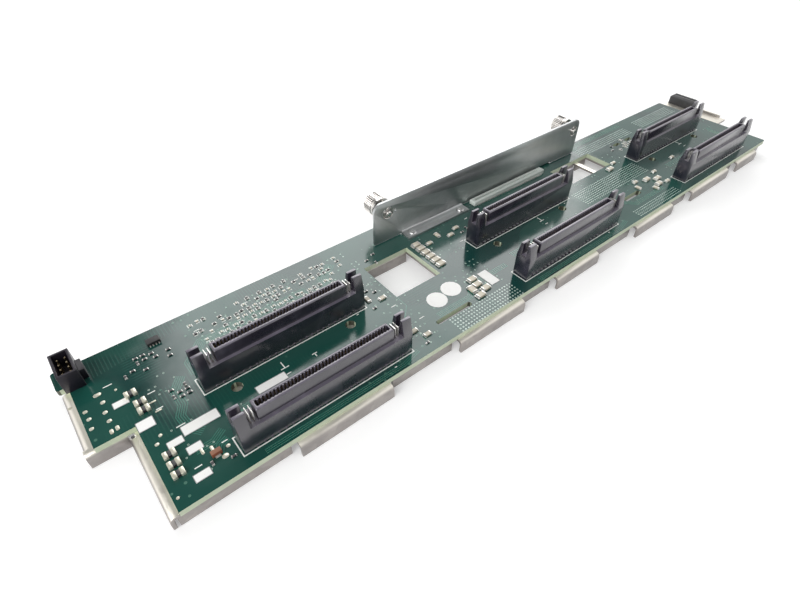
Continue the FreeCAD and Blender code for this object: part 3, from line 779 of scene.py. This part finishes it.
def makeReceptacle(name):
    low, high = (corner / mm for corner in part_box("receptacle_" + name))
    middleX, middleY = (low.x + high.x) / 2, (low.y + high.y) / 2
    count, pitch = receptacle["contacts"], receptacle["pitch"]
    first = firstOf(middleX, count, pitch)
    outer = receptacle["slotWidth"] / 2 + receptacle["combDepth"]
    soften("housing_" + name, "receptacle_" + name, receptacle["bevel"], blackPlastic)

    leaves, ribs = [], []
    half = receptacle["ribWidth"] / 2
    ribTop = receptacle["towerHeight"] - 0.15
    for side in (-1, 1):
        leaves.append((contactPart(-side), count, pitch,
                       (first, middleY + side * outer, low.z)))
        ends = sorted((side * (outer - 0.02),
                       side * (receptacle["slotWidth"] / 2 - receptacle["ribReach"])))
        rib = blockMesh("rib", [
            ((-half, ends[0], receptacle["slotFloor"]), (half, ends[1], ribTop))], 0.08, 1)
        ribs.append((rib, count + 1, pitch, (first - pitch / 2, middleY, low.z)))
    settleRows("springs_" + name, leaves, contactMetal, ["contacts_" + name])
    settleRows("comb_" + name, ribs, ribPlasticHighlighted)

    footPitch, half = receptacle["footRibPitch"], receptacle["footRibWidth"] / 2
    footCount = int((high.x - low.x - receptacle["footEnds"]) / footPitch)
    footRib = blockMesh("footRib", [
        ((-half, -receptacle["footRibReach"], 0.1), (half, 0.1, receptacle["footRibHeight"]))],
        0.12, 1)
    settleRows("feet_" + name, [
        (footRib, footCount, footPitch, (firstOf(middleX, footCount, footPitch), low.y, low.z))],
        blackPlastic)

    tail = turnedMesh("tail", [(0, 0), (0.5, 0.02), (0.42, 0.12), (0.24, 0.45), (0.2, 1.1),
                               (0.1, receptacle["tailLength"]), (0, receptacle["tailLength"])],
                      8, closed=False)
    tail.transform(Matrix.Rotation(-math.pi / 2, 4, "X"))
    mesh = growRows("tails", tail, count, 2, pitch, receptacle["tailRows"], solderTin)
    settle("tails_" + name, moved(mesh, first, middleY - receptacle["tailRows"] / 2,
                                  boardBottom / mm), solderTin)


for name in receptacle["names"]:
    makeReceptacle(name)
carry("ground_blades", solderTin)
print("receptacles done")

# captive thumbscrews

screw = {"knobLength": 7.6, "knobRadius": 5.0, "ridges": 36, "ridgeDepth": 0.32, "ridgeEnd": 0.3,
         "rim": 1.0, "neck": 0.8, "neckRadius": 4.35, "cupRadius": 3.8, "cupDepth": 4.0,
         "slotWidth": 1.2, "slotDepth": 1.4, "shankRadius": 1.5, "grooveRadius": 1.1,
         "grooveGap": 0.06, "threadWire": 0.17, "threadPitch": 0.5, "threadEnd": 0.3,
         "threadSteps": 28, "segments": 64, "springTurns": 4.5, "springSteps": 32,
         "springWire": 0.225, "springRadius": 2.3}
bush = {"bore": 1.56, "nose": 2.6, "sleeve": 3.0, "flange": 3.6, "flangeDepth": 1.4, "mouth": 0.7}
clip = {"inner": 1.16, "outer": 2.38, "gap": 48, "segments": 48}


def ridgePart(length):
    depth = screw["ridgeDepth"]
    verts = [(x, y, z) for x, inset, z in (
        (-0.02, 0, -0.30), (depth - 0.12, 0.25, -0.16), (depth, 0.4, 0),
        (depth - 0.12, 0.25, 0.16), (-0.02, 0, 0.30)) for y in (inset, length - inset)]
    faces = [(0, 1, 3, 2), (2, 3, 5, 4), (4, 5, 7, 6), (6, 7, 9, 8), (0, 2, 4, 6, 8),
             (9, 7, 5, 3, 1), (8, 9, 1, 0)]
    return meshOf(opened(meshFrom("ridge", verts, faces)), "ridge", True)


def makeKnob(tip, back, grooveFront, grooveBack):
    front = back - screw["knobLength"]
    rimBack = front + screw["rim"]
    grip = rimBack + screw["neck"]
    cupBack = front + screw["cupDepth"]
    knobRadius, neckRadius, cupRadius = (
        screw[key] for key in ("knobRadius", "neckRadius", "cupRadius"))
    shankRadius, grooveRadius = screw["shankRadius"], screw["grooveRadius"]
    core = knobRadius - screw["ridgeDepth"]
    root = shankRadius - 2 * screw["threadWire"]
    knob = turnedMesh("knob", [
        (0, tip), (root - 0.35, tip), (root, tip + 0.35), (root, grooveFront - 0.05),
        (grooveRadius, grooveFront), (grooveRadius, grooveBack), (shankRadius, grooveBack + 0.05),
        (shankRadius, cupBack), (cupRadius - 0.25, cupBack), (cupRadius, cupBack - 0.25),
        (cupRadius, front + 0.2), (cupRadius + 0.2, front), (knobRadius - 0.25, front),
        (knobRadius, front + 0.25), (knobRadius, rimBack - 0.2), (knobRadius - 0.2, rimBack),
        (neckRadius, rimBack + 0.05), (neckRadius, grip - 0.05), (core - 0.2, grip),
        (core, grip + 0.2), (core, back - 0.45), (core - 0.45, back - 0.02), (core - 1.2, back),
        (0, back)], screw["segments"], closed=False)
    holder = holderOf(knob)
    cutter = holderOf(blockMesh("cutter", [(
        (-6, back - screw["slotDepth"], -screw["slotWidth"] / 2),
        (6, back + 1, screw["slotWidth"] / 2))]))
    cut = holder.modifiers.new("slot", "BOOLEAN")
    cut.object = cutter
    cut.operation = "DIFFERENCE"
    cut.solver = "EXACT"
    knob = evaluatedMesh(holder, "knob")
    bpy.data.objects.remove(cutter)
    ridgeStart = grip + screw["ridgeEnd"]
    ridges = grow("ridges", ringTree, Part=holderOf(ridgePart(back - 0.55 - ridgeStart)),
                  Count=screw["ridges"], Radius=core * mm, Finish=nickelPlate)
    length = grooveFront - tip - 2 * screw["threadEnd"]
    thread = grow("thread", coilTree, Turns=length / screw["threadPitch"],
                  Radius=(root + screw["threadWire"] * 0.6) * mm, Wire=screw["threadWire"] * mm,
                  Length=length * mm, Steps=screw["threadSteps"], Finish=nickelPlate)
    return [knob, moved(ridges, 0, ridgeStart, 0), moved(thread, 0, tip + screw["threadEnd"], 0)]


def makeThumbscrew(side):
    node, ring, spring, ferrule = (
        kind + side for kind in ("thumbscrew_", "retaining_ring_", "spring_", "ferrule_"))
    low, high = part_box(node)
    centre = Vector(((low.x + high.x) / 2, 0, (low.z + high.z) / 2))
    front, back = (corner.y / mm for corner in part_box(ring))
    gap = screw["grooveGap"]
    parts = makeKnob(low.y / mm, high.y / mm, front - gap, back + gap)
    settle("knurled_screw_" + side, smoothBy(joinMeshes("screw_" + side, parts)), nickelPlate,
           bodyOf(node), [node], centre)

    springLow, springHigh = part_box(spring)
    length = springHigh.y - springLow.y
    wire = screw["springWire"] * mm
    coil = grow("coil", coilTree, Turns=screw["springTurns"],
                Radius=screw["springRadius"] * mm, Wire=wire, Length=length - 2 * wire,
                Steps=screw["springSteps"], Finish=springWire)
    coil.transform(Matrix.Translation(Vector((centre.x, springLow.y + wire, centre.z))))
    piece = settle("coil_" + side, coil, springWire, bodyOf(spring), [spring])
    travel = next(j for j in frame["joints"] if j["name"] == side + "_screw_slide")["range_m"][1]
    (length - travel) / length
    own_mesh(piece)

    near, far = (corner.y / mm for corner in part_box(ferrule))
    bore, nose, sleeve, flange = (bush[key] for key in ("bore", "nose", "sleeve", "flange"))
    step = far - bush["flangeDepth"]
    settle("bush_" + side, turnedMesh("bush", [
        (bore, near + bush["mouth"]), (bore, far - 0.1), (bore + 0.1, far), (flange - 0.2, far),
        (flange, far - 0.2), (flange, step + 0.1), (flange - 0.1, step), (sleeve, step),
        (sleeve, near + 0.12), (sleeve - 0.12, near), (nose + 0.12, near), (nose, near + 0.12),
        (nose, near + bush["mouth"])], screw["segments"]), nickelPlate,
        bodyOf(ferrule), [ferrule], centre)
    inner, outer = clip["inner"], clip["outer"]
    settle("clip_" + side, turnedMesh("clip", [
        (inner, front + 0.05), (inner + 0.04, front), (outer - 0.06, front),
        (outer, front + 0.06), (outer, back - 0.06), (outer - 0.06, back), (inner + 0.04, back),
        (inner, back - 0.05)], clip["segments"], start=90 + clip["gap"] / 2,
        sweep=360 - clip["gap"]), springWire, bodyOf(ring), [ring], centre)


for side in ("left", "right"):
    makeThumbscrew(side)
print("thumbscrews done")

# small connectors

smallLook = {"powerBevel": 0.18, "socketBevel": 0.12, "guideBevel": 0.3, "leadPitch": 0.8,
             "leadWidth": 0.3, "leadThickness": 0.12, "leadEnds": 3, "pinBevel": 0.1,
             "lead": ((-0.2, 0.7), (0.15, 0.7), (0.25, 0.58), (0.3, 0.2), (0.4, 0.06),
                      (0.6, 0.06))}
soften("power_header", "power_connector", smallLook["powerBevel"], headerPlastic)
soften("card_socket", "daughter_card_socket", smallLook["socketBevel"], ivoryPlastic)
soften("end_guide", "guide_block", smallLook["guideBevel"], greyPlastic)
soften("header_pins", "power_pins", smallLook["pinBevel"], contactMetal, 1)


def leadPart(side):  # gull-wing lead that leaves the housing and lands on its pad
    half, thick, line = (smallLook["leadWidth"] / 2, smallLook["leadThickness"],
                         smallLook["lead"])
    rings = []
    for i, (y, z) in enumerate(line):
        before, after = line[max(0, i - 1)], line[min(len(line) - 1, i + 1)]
        along = Vector((after[0] - before[0], after[1] - before[1])).normalized()
        out = Vector((-along.y, along.x)) * thick
        rings.append([(x, side * (y + out.x * k), z + out.y * k)
                      for x, k in ((-half, 0), (half, 0), (half, 1), (-half, 1))])
    return tubeMesh("lead", rings)


socketLow, socketHigh = (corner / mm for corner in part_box("daughter_card_socket"))
leadPitch = smallLook["leadPitch"]
leadCount = int((socketHigh.x - socketLow.x - smallLook["leadEnds"]) / leadPitch)
leadStart = firstOf((socketLow.x + socketHigh.x) / 2, leadCount, leadPitch)
settleRows("socket_leads", [
    (leadPart(side), leadCount, leadPitch, (leadStart, y, boardTop / mm))
    for side, y in ((-1, socketLow.y), (1, socketHigh.y))], solderTin)
print("connectors done")

# rivets

rivetLook = {"radius": 1.85, "shank": 1.15, "headHeight": 0.65, "dimple": 0.7,
             "dimpleDepth": 0.3, "segments": 32}


def rivetMesh(name, boxes):
    radius, shank, dimple = (rivetLook[key] for key in ("radius", "shank", "dimple"))
    heads = []
    for low, high in boxes:
        centre = (low + high) / 2
        top, shoulder = high.z, high.z - rivetLook["headHeight"]
        floorZ = top - rivetLook["dimpleDepth"]
        head = turnedMesh("head", [
            (0, low.z), (shank - 0.25, low.z), (shank, low.z + 0.2), (shank, shoulder),
            (radius, shoulder), (radius, shoulder + 0.12), (radius * 0.8, top - 0.12),
            (dimple + 0.2, top), (dimple, top - 0.05), (dimple * 0.6, floorZ), (0, floorZ)],
            rivetLook["segments"], closed=False)
        head.transform(Matrix.Rotation(math.pi / 2, 4, "X"))
        heads.append(moved(head, centre.x, centre.y, 0))
    return smoothBy(joinMeshes(name, heads))


for node in ("board_rivets", "foot_rivets"):
    settle(node + "_set", rivetMesh(node, islands(node)), rivetMetal,
           replaced=[node])
print("rivets done")

# ink and labels

# places of the many small parts behind receptacle a1 and beside receptacle a3
scatter = {"grid": (27, 9), "first": (9.0, 13.0), "pitch": (2.75, 2.7), "share": 0.56,
           "shifts": ((-0.4, 0, 0.4), (-0.3, 0, 0.3)), "rightEnd": 76, "clearColumns": 24,
           "sideGrid": (7, 7), "sideFirst": (268.0, 14.5), "sidePitch": (2.6, 1.2),
           "sideShare": 0.5, "margin": 1}
random.seed(5)
field = []
for column in range(scatter["grid"][0]):
    for row in range(scatter["grid"][1]):
        if random.random() < scatter["share"]:
            x, y = (first + step * pitch + random.choice(shifts) for first, step, pitch, shifts in
                    zip(scatter["first"], (column, row), scatter["pitch"], scatter["shifts"]))
            if x < scatter["rightEnd"] and (row or column >= scatter["clearColumns"]):
                field.append((x, y, random.choice((0, 90))))
for column in range(scatter["sideGrid"][0]):
    for row in range(scatter["sideGrid"][1]):
        if random.random() < scatter["sideShare"]:
            field.append((scatter["sideFirst"][0] + column * scatter["sidePitch"][0],
                          scatter["sideFirst"][1] + row * scatter["sidePitch"][1], 0))
margins = (-scatter["margin"], scatter["margin"])
field = [(x, y, turn) for x, y, turn in field
         if all(overBoard(onBoard(x + dx, y + dy)) for dx in margins for dy in margins)]

ink = {"width": 0.42, "thickness": 0.035, "outline": (68.5, 8.1), "columnPitch": 131.0,
       "rowPitch": 29.4, "strokeGap": 0.8075, "strokeHalf": 0.75}
length, width = ink["outline"]
inkLoops = [[(column * ink["columnPitch"] + dx, dy - row * ink["rowPitch"])
             for dx, dy in ((0, 0), (length, 0), (length, width), (0, width))]
            for row in range(2) for column in range(3)]
inkLines = []
# marks of the first contact and of the receptacle's place
for x, y in ((27.3, -3.4), (172.3, -1.0), (303.4, -0.4)):
    inkLines += [[(x, y), (x, y - 3)], [(x - 1.6, y - 3.2), (x + 1.6, y - 3.2)],
                 [(x - 1, y - 6.2), (x + 0.8, y - 6.2)]]
inkLines += [[(38.2, -7.4), (40.2, -7.4)], [(39.2, -7.4), (39.2, -9)]]
for x, y in ((63.3, -0.9), (58.6, -31.1), (193.7, -1.4), (189.9, -30.6), (322.0, -1.2)):
    inkLines.append([(x - 0.5, y), (x + 0.5, y)])
for x, y, across in ((-26, 24.6, 3), (-15, 12.4, 2.6), (-15, 4.4, 2.4), (-12.4, -6.4, 3),
                     (-13.6, -23.8, 2.4), (-3.4, -20.6, 2), (4.6, 15.4, 2.4), (9, 30.6, 2.2),
                     (30, 33, 2.6), (54, 32.6, 2), (76.4, -6, 2.2), (81, -18, 2.4),
                     (128.6, 8.4, 2), (112, 24.4, 2.4), (143, 20.4, 2), (211, 20.4, 2.2),
                     (240.6, -10.4, 2.4), (252, -16.4, 2), (300, 15.4, 2.2)):
    inkLines.append([(x, y), (x + across, y)])
for x, y, turn in field:  # strokes at both sides of a part
    for aside in (-ink["strokeGap"], ink["strokeGap"]):
        ends = [(end, aside) for end in (-ink["strokeHalf"], ink["strokeHalf"])]
        inkLines.append([(x + b, y + a) if turn else (x + a, y + b) for a, b in ends])
inkLines = [line for line in inkLines if all(overBoard(onBoard(x, y)) for x, y in line)]
settle("ink_outlines", placed(joinMeshes("ink", [
    ribbonMesh("inkLoops", inkLoops, ink["width"], ink["thickness"], True),
    ribbonMesh("inkLines", inkLines, ink["width"] * 0.9, ink["thickness"])])),
    whiteInk)

labels = {
    "thickness": 0.1, "border": 0.2, "inset": 0.1, "corner": 0.35, "borderCorner": 0.3,
    "borderLift": 0.02, "dotBevel": 0.03,
    # middle x, middle y, length, width
    "places": ((-23.2, 14.4, 5.2, 2.9), (-19.6, 1, 5.6, 4.4), (-5.4, -9.2, 12.4, 4.2),
               (-14.6, -11.4, 5.2, 2.9), (-10.6, -17, 5, 3.2),
               (-12.4, -27.2, 5.4, 3), (20.4, -9.6, 11.6, 3.6), (120.5, -17.5, 5.2, 9.2))}


def roundedLoop(x, y, length, width, corner, steps=4):
    loop = []
    for cornerX, cornerY, start in ((1, 1, 0), (-1, 1, 90), (-1, -1, 180), (1, -1, 270)):
        for step in range(steps + 1):
            angle = math.radians(start + 90 * step / steps)
            loop.append((x + cornerX * (length / 2 - corner) + corner * math.cos(angle),
                         y + cornerY * (width / 2 - corner) + corner * math.sin(angle)))
    return loop


def slabMesh(name, loops, thickness):
    made = bmesh.new()
    for loop in loops:
        low, high = ([made.verts.new(Vector((x, y, z)) * mm) for x, y in loop]
                     for z in (0, thickness))
        made.faces.new(low[::-1])
        made.faces.new(high)
        for k in range(len(loop)):
            after = (k + 1) % len(loop)
            made.faces.new((low[k], low[after], high[after], high[k]))
    return meshOf(made, name)


settle("labels", placed(slabMesh("labels", [
    roundedLoop(x, y, length, width, labels["corner"])
    for x, y, length, width in labels["places"]], labels["thickness"])),
    labelPaper)
settle("label_borders", placed(ribbonMesh("borders", [
    roundedLoop(x, y, length - 2 * labels["inset"], width - 2 * labels["inset"],
                labels["borderCorner"], 2)
    for x, y, length, width in labels["places"]], labels["border"],
    labels["thickness"] + labels["borderLift"], True)), labelEdge)
soften("paper_dots", "inspection_dots", labels["dotBevel"], dotPaper, 1)
print("ink and labels done")

# vias and tinned pads

vias = {
    "radius": 0.36, "hole": 0.17, "height": 0.05, "strayFirst": 20,
    # first x, first y, columns, rows, pitch along, pitch across, share kept
    "fields": ((90.0, -33.4, 24, 6, 1.5, 1.5, 1.0), (203.0, -9.2, 38, 8, 1.5, 1.45, 1.0),
               (215.0, -33.6, 26, 5, 1.5, 1.4, 1.0), (306.0, 24.0, 29, 6, 1.4, 1.5, 1.0),
               (243.0, 23.6, 37, 5, 1.4, 1.6, 1.0)),
    "strays": ((-14.0, -27.0, 5, 12, 2.2, 4.1, 0.3), (6.0, 11.0, 34, 12, 2.3, 2.2, 0.22),
               (72.0, -30.0, 8, 17, 2.2, 2.9, 0.3), (108.0, -22.0, 9, 16, 2.3, 2.9, 0.25),
               (8.0, -20.0, 26, 4, 2.4, 3.0, 0.2), (140.0, -20.0, 26, 4, 2.4, 3.0, 0.2),
               (204.0, 6.0, 22, 4, 2.6, 3.2, 0.25), (270.0, -20.0, 26, 4, 2.4, 3.0, 0.2),
               (334.0, -28.0, 6, 16, 2.4, 3.2, 0.2))}
viaPart = turnedMesh("via", [(vias["hole"], -0.4), (vias["hole"], vias["height"]),
                             (vias["radius"], vias["height"]), (vias["radius"], -0.02)],
                     10, closed=False)
viaPart.transform(Matrix.Rotation(math.pi / 2, 4, "X"))


def addVias(name, grids, finish, firstSeed):
    meshes = []
    for seed, (x, y, columns, rows, along, across, keep) in enumerate(grids, firstSeed):
        meshes.append(placed(growRows("field", viaPart.copy(), columns, rows, along, across,
                                      finish, keep, seed), x, y))
    settle(name, keepOverBoard(joinMeshes(name, meshes)), finish)


addVias("via_fields", vias["fields"], fieldPlating, 0)
addVias("vias", vias["strays"], viaPlating, vias["strayFirst"])

pads = {
    "corner": 0.45, "thickness": 0.14, "bevel": 0.05, "bevelAngle": 50,
    # middle x, middle y, length, width
    "places": ((-28.4, 22.7, 2.6, 1.5), (-27.8, 18.4, 1.6, 1.4), (-28.4, 13.8, 1.6, 1.4),
               (-33.5, 18, 1.5, 1.3), (-33.3, 14.3, 1.5, 1.3), (-33.7, 10, 1.5, 1.3),
               (-28.3, 9.6, 1.6, 1.4), (-29, 5, 1.2, 2), (-27.1, 5.3, 1.2, 2),
               (-37, 22.6, 1.4, 1.1), (-22.8, 21.1, 0.9, 0.9), (-21, -29.5, 1, 1),
               (-14.8, 8.2, 2.4, 0.6), (-14.4, 3.6, 2.2, 0.6), (-6.6, -20.8, 1, 2.6),
               (-9.4, -19.6, 1, 2.6), (-4.4, -25.6, 2.2, 1.6), (-2.2, -22.8, 1.4, 1.2),
               (-17.4, -6, 1.2, 1.2), (-19.4, -8.6, 1.4, 1.2))}
settle("pads", placed(bevelled(slabMesh("pads", [
    roundedLoop(x, y, length, width, pads["corner"] * min(length, width))
    for x, y, length, width in pads["places"]], pads["thickness"]), pads["bevel"], 2,
    pads["bevelAngle"])), padGold)
print("vias and pads done")

# traces under the mask

traces = {"width": 0.3, "thickness": 0.03, "pitch": 0.75}


def bundle(start, legs, count):  # parallel lines through the same turns
    points = [Vector(start)]
    for leg in legs:
        points.append(points[-1] + Vector(leg))
    steps = list(zip(points, mitres(points)))
    return [[tuple(point + step * (k - (count - 1) / 2) * traces["pitch"])
             for point, step in steps]
            for k in range(count)]


traceLines = []
for start, legs, count in (
        ((-6, -13), ((-3, 4), (-0.6, 6), (2.4, 4), (0, 7), (4, 5)), 5),
        ((-1, -16), ((-4, -2.5), (-6, 0)), 4),
        ((-1, -20), ((-3, -1), (-2, -4)), 4),
        ((2, 11), ((0, 6), (7, 7), (46, 0)), 6),
        ((60, 12), ((4, 4), (0, 10), (8, 6)), 6),
        ((78, -28), ((0, 12), (6, 6), (0, 8)), 7),
        ((88, -22), ((18, 0), (7, 5), (20, 0)), 6),
        ((205, -18), ((12, 0), (6, -6), (26, 0)), 5),
        ((200, 10), ((10, 0), (5, 5), (22, 0)), 6),
        ((236, 32.4), ((10, 0), (3, 2), (46, 0)), 5),
        ((8, -13.4), ((40, 0), (6, 0)), 5),
        *(((x, -13.4), ((46, 0), (6, 0)), 5) for x in (140, 272)),
        ((6, -32), ((56, 0), (8, 2)), 3), ((137, -32), ((60, 0), (8, 2)), 3),
        ((336, -26), ((0, 20), (3, 3)), 5),
        ((98, 14), ((0, 8), (4, 4), (10, 0)), 5)):
    traceLines += bundle(start, legs, count)


def onlyOverBoard(line):
    for (x0, y0), (x1, y1) in zip(line, line[1:]):
        steps = max(1, int(math.hypot(x1 - x0, y1 - y0)))
        for k in range(steps + 1):
            if not overBoard(onBoard(x0 + (x1 - x0) * k / steps, y0 + (y1 - y0) * k / steps)):
                return False
    return True


traceLines = [line for line in traceLines if onlyOverBoard(line)]
settle("traces", placed(ribbonMesh("traces", traceLines, traces["width"], traces["thickness"])),
       traceGreen)
print("traces done")

# small parts

smallParts = {"block": (4.1, 2.5, 1.2), "chip": (3.2, 1.7, 0.9), "resistor": (1.6, 0.85, 0.5),
              "tiny": (1.05, 0.55, 0.4), "fuseCap": 0.36, "fuseBevel": 0.15,
              "fuseCapBevel": 0.25, "legReach": 0.55, "legThickness": 0.12, "bodyBevel": 0.14}
# lengths of a chip's body, caps and solder as shares of its own length and width
chipShares = {"body": 0.34, "cap": 0.335, "solder": 0.4, "fillet": 0.16, "filletAcross": 0.55,
              "filletHeight": 0.35, "bodyBevel": 0.06, "capBevel": 0.07}


def chipEnds(inner, outer, across, bottom, top):  # a block at both ends
    spans = [sorted((side * inner, side * outer)) for side in (-1, 1)]
    return [((low, -across, bottom), (high, across, top)) for low, high in spans]


def chipBody(length, width, height):
    half = length * chipShares["body"]
    return blockMesh("body", [((-half, -width / 2, 0.06), (half, width / 2, height))],
                     chipShares["bodyBevel"] * width)


def chipCaps(length, width, height):
    ends = chipEnds(length * chipShares["cap"], length / 2, width / 2 + 0.02, 0.02,
                    height + 0.02)
    solder = chipEnds(length * chipShares["solder"], length / 2 + chipShares["fillet"] * width,
                      width * chipShares["filletAcross"], 0, height * chipShares["filletHeight"])
    return blockMesh("caps", ends + solder, chipShares["capBevel"] * width)


blocks = [(113.6, -14.4, 0), (113, -18, 0), (114.4, -21.8, 0), (109.6, -23.6, 0),
          (109.2, -19, 90), (110.4, 18.8, 0), (110.4, 15.4, 0), (110.4, 12, 0),
          (110.4, 8.6, 0), (110.4, 5.2, 0), (110.4, 1.8, 0), (248, -14.7, 0),
          (249.6, -21.2, 0), (254, -17.6, 0), (242, 4.5, 0)]
bigChips = [(116.2, 16.1, 0), (236.8, -16.7, 90), (259.3, -12.4, 0), (283, -9.6, 0),
            (249.4, 7.5, 0), (71.3, 3.4, 90), (76.6, 0.3, 0), (74.8, -21.9, 0),
            (77.8, -26.3, 0), (134.3, 17.5, 0), (128.6, 14.9, 0), (244.6, -22.6, 90),
            (240.6, -12.4, 0), (256, -22.4, 0), (123.4, 18.6, 90)]
resistors = [(-6, 4.2, 0), (-6, 6.4, 0), (-3.4, 4.2, 0), (-3.4, 6.4, 0), (-3.4, 8.6, 90),
             (-8.4, 5.4, 90), (-8.2, 8.8, 0), (-13, 30.6, 0), (-10.4, 30.6, 0), (-10.4, 28.4, 0),
             (-13, 28, 90), (-7.6, 29.6, 0), (-6.8, 27.2, 0), (-2, 27.8, 0), (-2.4, 24.6, 0),
             (-15.6, 25.4, 0), (-18.4, 24.2, 90), (-11.6, 23.4, 0), (-24.4, -1.4, 0),
             (-8.6, -25.6, 90), (-2.4, -27.4, 0), (1.6, -25, 0), (73.8, 7.8, 0), (76.4, 5.4, 0),
             (70.7, -2.4, 0), (75.1, -29.6, 0), (86, 24, 0), (88.6, 20.4, 90), (90.8, 26, 0),
             (134.5, 13.2, 0), (138.4, 14.6, 90), (145, 14, 0), (207.4, 15.4, 0),
             (211.6, 14.2, 90), (217, 15, 0), (262.6, 16.8, 0), (266.4, 20, 90)]


def addChips(name, places, size, bodyFinish):
    settle(name + "_bodies", growAt(name, chipBody(*size), places, bodyFinish), bodyFinish)
    settle(name + "_terminals", growAt(name, chipCaps(*size), places, solderTin), solderTin)


addChips("block_capacitors", blocks, smallParts["block"], ceramicTan)
addChips("capacitors", bigChips, smallParts["chip"], ceramicTan)
addChips("resistors", resistors, smallParts["resistor"], resistorBlack)
addChips("small_resistors", field[::2], smallParts["resistor"], resistorBlack)
addChips("small_capacitors", field[1::2], smallParts["tiny"], ceramicTan)

fuseBlocks, fuseCaps = [], []
for low, high in islands("fuses"):
    third = (high.x - low.x) * smallParts["fuseCap"]
    fuseBlocks.append(((low.x + third, low.y + 0.2, low.z),
                       (high.x - third, high.y - 0.2, high.z - 0.1)))
    fuseCaps.append(((low.x, low.y, low.z), (low.x + third, high.y, high.z)))
    fuseCaps.append(((high.x - third, low.y, low.z), (high.x, high.y, high.z)))
settle("fuse_bodies", blockMesh("fuseBodies", fuseBlocks, smallParts["fuseBevel"]),
       resistorBlack, replaced=["fuses"])
settle("fuse_terminals", blockMesh("fuseCaps", fuseCaps, smallParts["fuseCapBevel"]), padGold)


def chipPackage(name, node, finish, legs, legPitch, legWidth, bodyLift):
    low, high = islands(node)[0]
    reach, thick, half = smallParts["legReach"], smallParts["legThickness"], legWidth / 2
    body = [((low.x + 0.1, low.y + reach, low.z + bodyLift),
             (high.x - 0.1, high.y - reach, high.z))]
    settle(name + "_body", blockMesh(name, body, smallParts["bodyBevel"]), finish,
           replaced=[node])
    rows = []
    for side, y in ((-1, low.y + reach), (1, high.y - reach)):
        steps = []  # out of the body, down, and along the pad
        for start, end, bottom, top in (
                (0, thick, 0.5, 0.62), (0.1, 0.24, 0, 0.62), (0.2, reach, 0, thick)):
            near, far = sorted((side * start, side * end))
            steps.append(((-half, near, bottom), (half, far, top)))
        rows.append((blockMesh("leg", steps), legs, legPitch,
                     (firstOf((low.x + high.x) / 2, legs, legPitch), y, low.z)))
    settleRows(name + "_legs", rows, solderTin)


chipPackage("logic", "logic_chip", chipEpoxy, 4, 1.1, 0.4, 0.1)
chipPackage("tantalum", "tantalum_capacitor", capacitorRed, 1, 1.0, 1.8, 0.05)
print("small parts done")

# floor, light and camera

stage = {"floorSize": 6.0, "floorDrop": 0.2, "floorColour": (0.80, 0.80, 0.80),
         "floorRoughness": 0.9, "cameraGlow": 0.30, "skyStrength": 0.5,
         "ceilingEdge": (0.70, 0.85), "ceilingDrop": 0.85,
         "sideEdge": (0.02, 0.10), "leftEdge": (0.3, 0.6), "farFloor": (450, 1300)}
half = stage["floorSize"] / 2 / mm
floorMesh = meshFrom("floor", [
    (x * half, y * half, 0) for x, y in ((-1, -1), (1, -1), (1, 1), (-1, 1))], [(0, 1, 2, 3)])
floor = addObject("floor", floorMesh)
floor.location.z = -stage["floorDrop"] * mm
floorLook = Finish("floorPaper", Base_Color=stage["floorColour"],
                   Roughness=stage["floorRoughness"], Specular_IOR_Level=0.0)
seen = floorLook.seenBy("Is Camera Ray", "Is Glossy Ray")
# the floor stays white where the lamps no longer reach
x, y, z = floorLook.axes()
far = (x * x + y * y).soft(*[edge ** 2 for edge in stage["farFloor"]])
glow = floorLook.mix(far, (stage["cameraGlow"],) * 3, (1, 1, 1))
floorLook.set("Emission Color", floorLook.mix(seen, (0, 0, 0), glow))
floorLook.set("Emission Strength", 1.0)
floorMesh.materials.append(floorLook.material)
floor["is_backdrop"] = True

world = bpy.data.worlds.new("studio")
bpy.context.scene.world = world
world.use_nodes = True
sky = NodeTree(world.node_tree)
sky.tree.nodes.clear()
seen = sky.seenBy("Is Camera Ray", "Is Glossy Ray", "Is Transmission Ray")
# gloss sees white walls, a dimmer ceiling and a dim left half above
aside, depth, height = sky.split(sky.add("ShaderNodeTexCoord", out="Generated"))
left = (1 - aside.soft(*stage["sideEdge"])) * height.soft(*stage["leftEdge"])
dim = maths("MAXIMUM", left, height.soft(*stage["ceilingEdge"]))
wall = 1 - dim * stage["ceilingDrop"]
light = sky.add("ShaderNodeBackground", inputs={
    "Color": (1, 1, 1, 1),
    "Strength": seen * wall + (1 - seen) * stage["skyStrength"]})
last = sky.tree.nodes.new("ShaderNodeOutputWorld")
sky.tree.links.new(light.socket, last.inputs["Surface"])

lamps = {  # place, aim and size in metres, power in watts
    "keyLamp": ((-1.0, -0.3, 0.85), (-0.1, 0, 0), (0.8, 0.8), 7.5),
    "sideLamp": ((-1.2, -0.25, 0.22), (-0.1, 0, 0.01), (0.6, 0.5), 6.0),
    "backLamp": ((0.43, 0.70, 0.72), (0, 0, 0), (1.15, 0.62), 6.0)}
for name, (place, aim, size, power) in lamps.items():
    data = bpy.data.lights.new(name, "AREA")
    data.shape = "RECTANGLE"
    data.size, data.size_y = size
    data.energy = power
    lamp = addObject(name, data)
    lamp.location = place
    lamp.rotation_euler = (Vector(aim) - Vector(place)).to_track_quat("-Z", "Y").to_euler()

view = {"sensor": 36, "lens": 22.981, "nearClip": 0.01, "place": (-0.17951, -0.12489, 0.15200),
        "angles": (46.5394, -0.5671, -39.0937)}
cameraData = bpy.data.cameras.new("camera")
cameraData.sensor_width = view["sensor"]
cameraData.lens = view["lens"]
cameraData.clip_start = view["nearClip"]
camera = addObject("camera", cameraData)
camera.location = view["place"]
camera.rotation_euler = [math.radians(angle) for angle in view["angles"]]
bpy.context.scene.camera = camera
bpy.context.scene.view_settings.view_transform = "Standard"

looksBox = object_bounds()
boxes = [[round(c / mm, 2) for c in corner] for box in (cadBox, looksBox) for corner in box]
print("ready: cad box", *boxes[:2], "visual box", *boxes[2:])
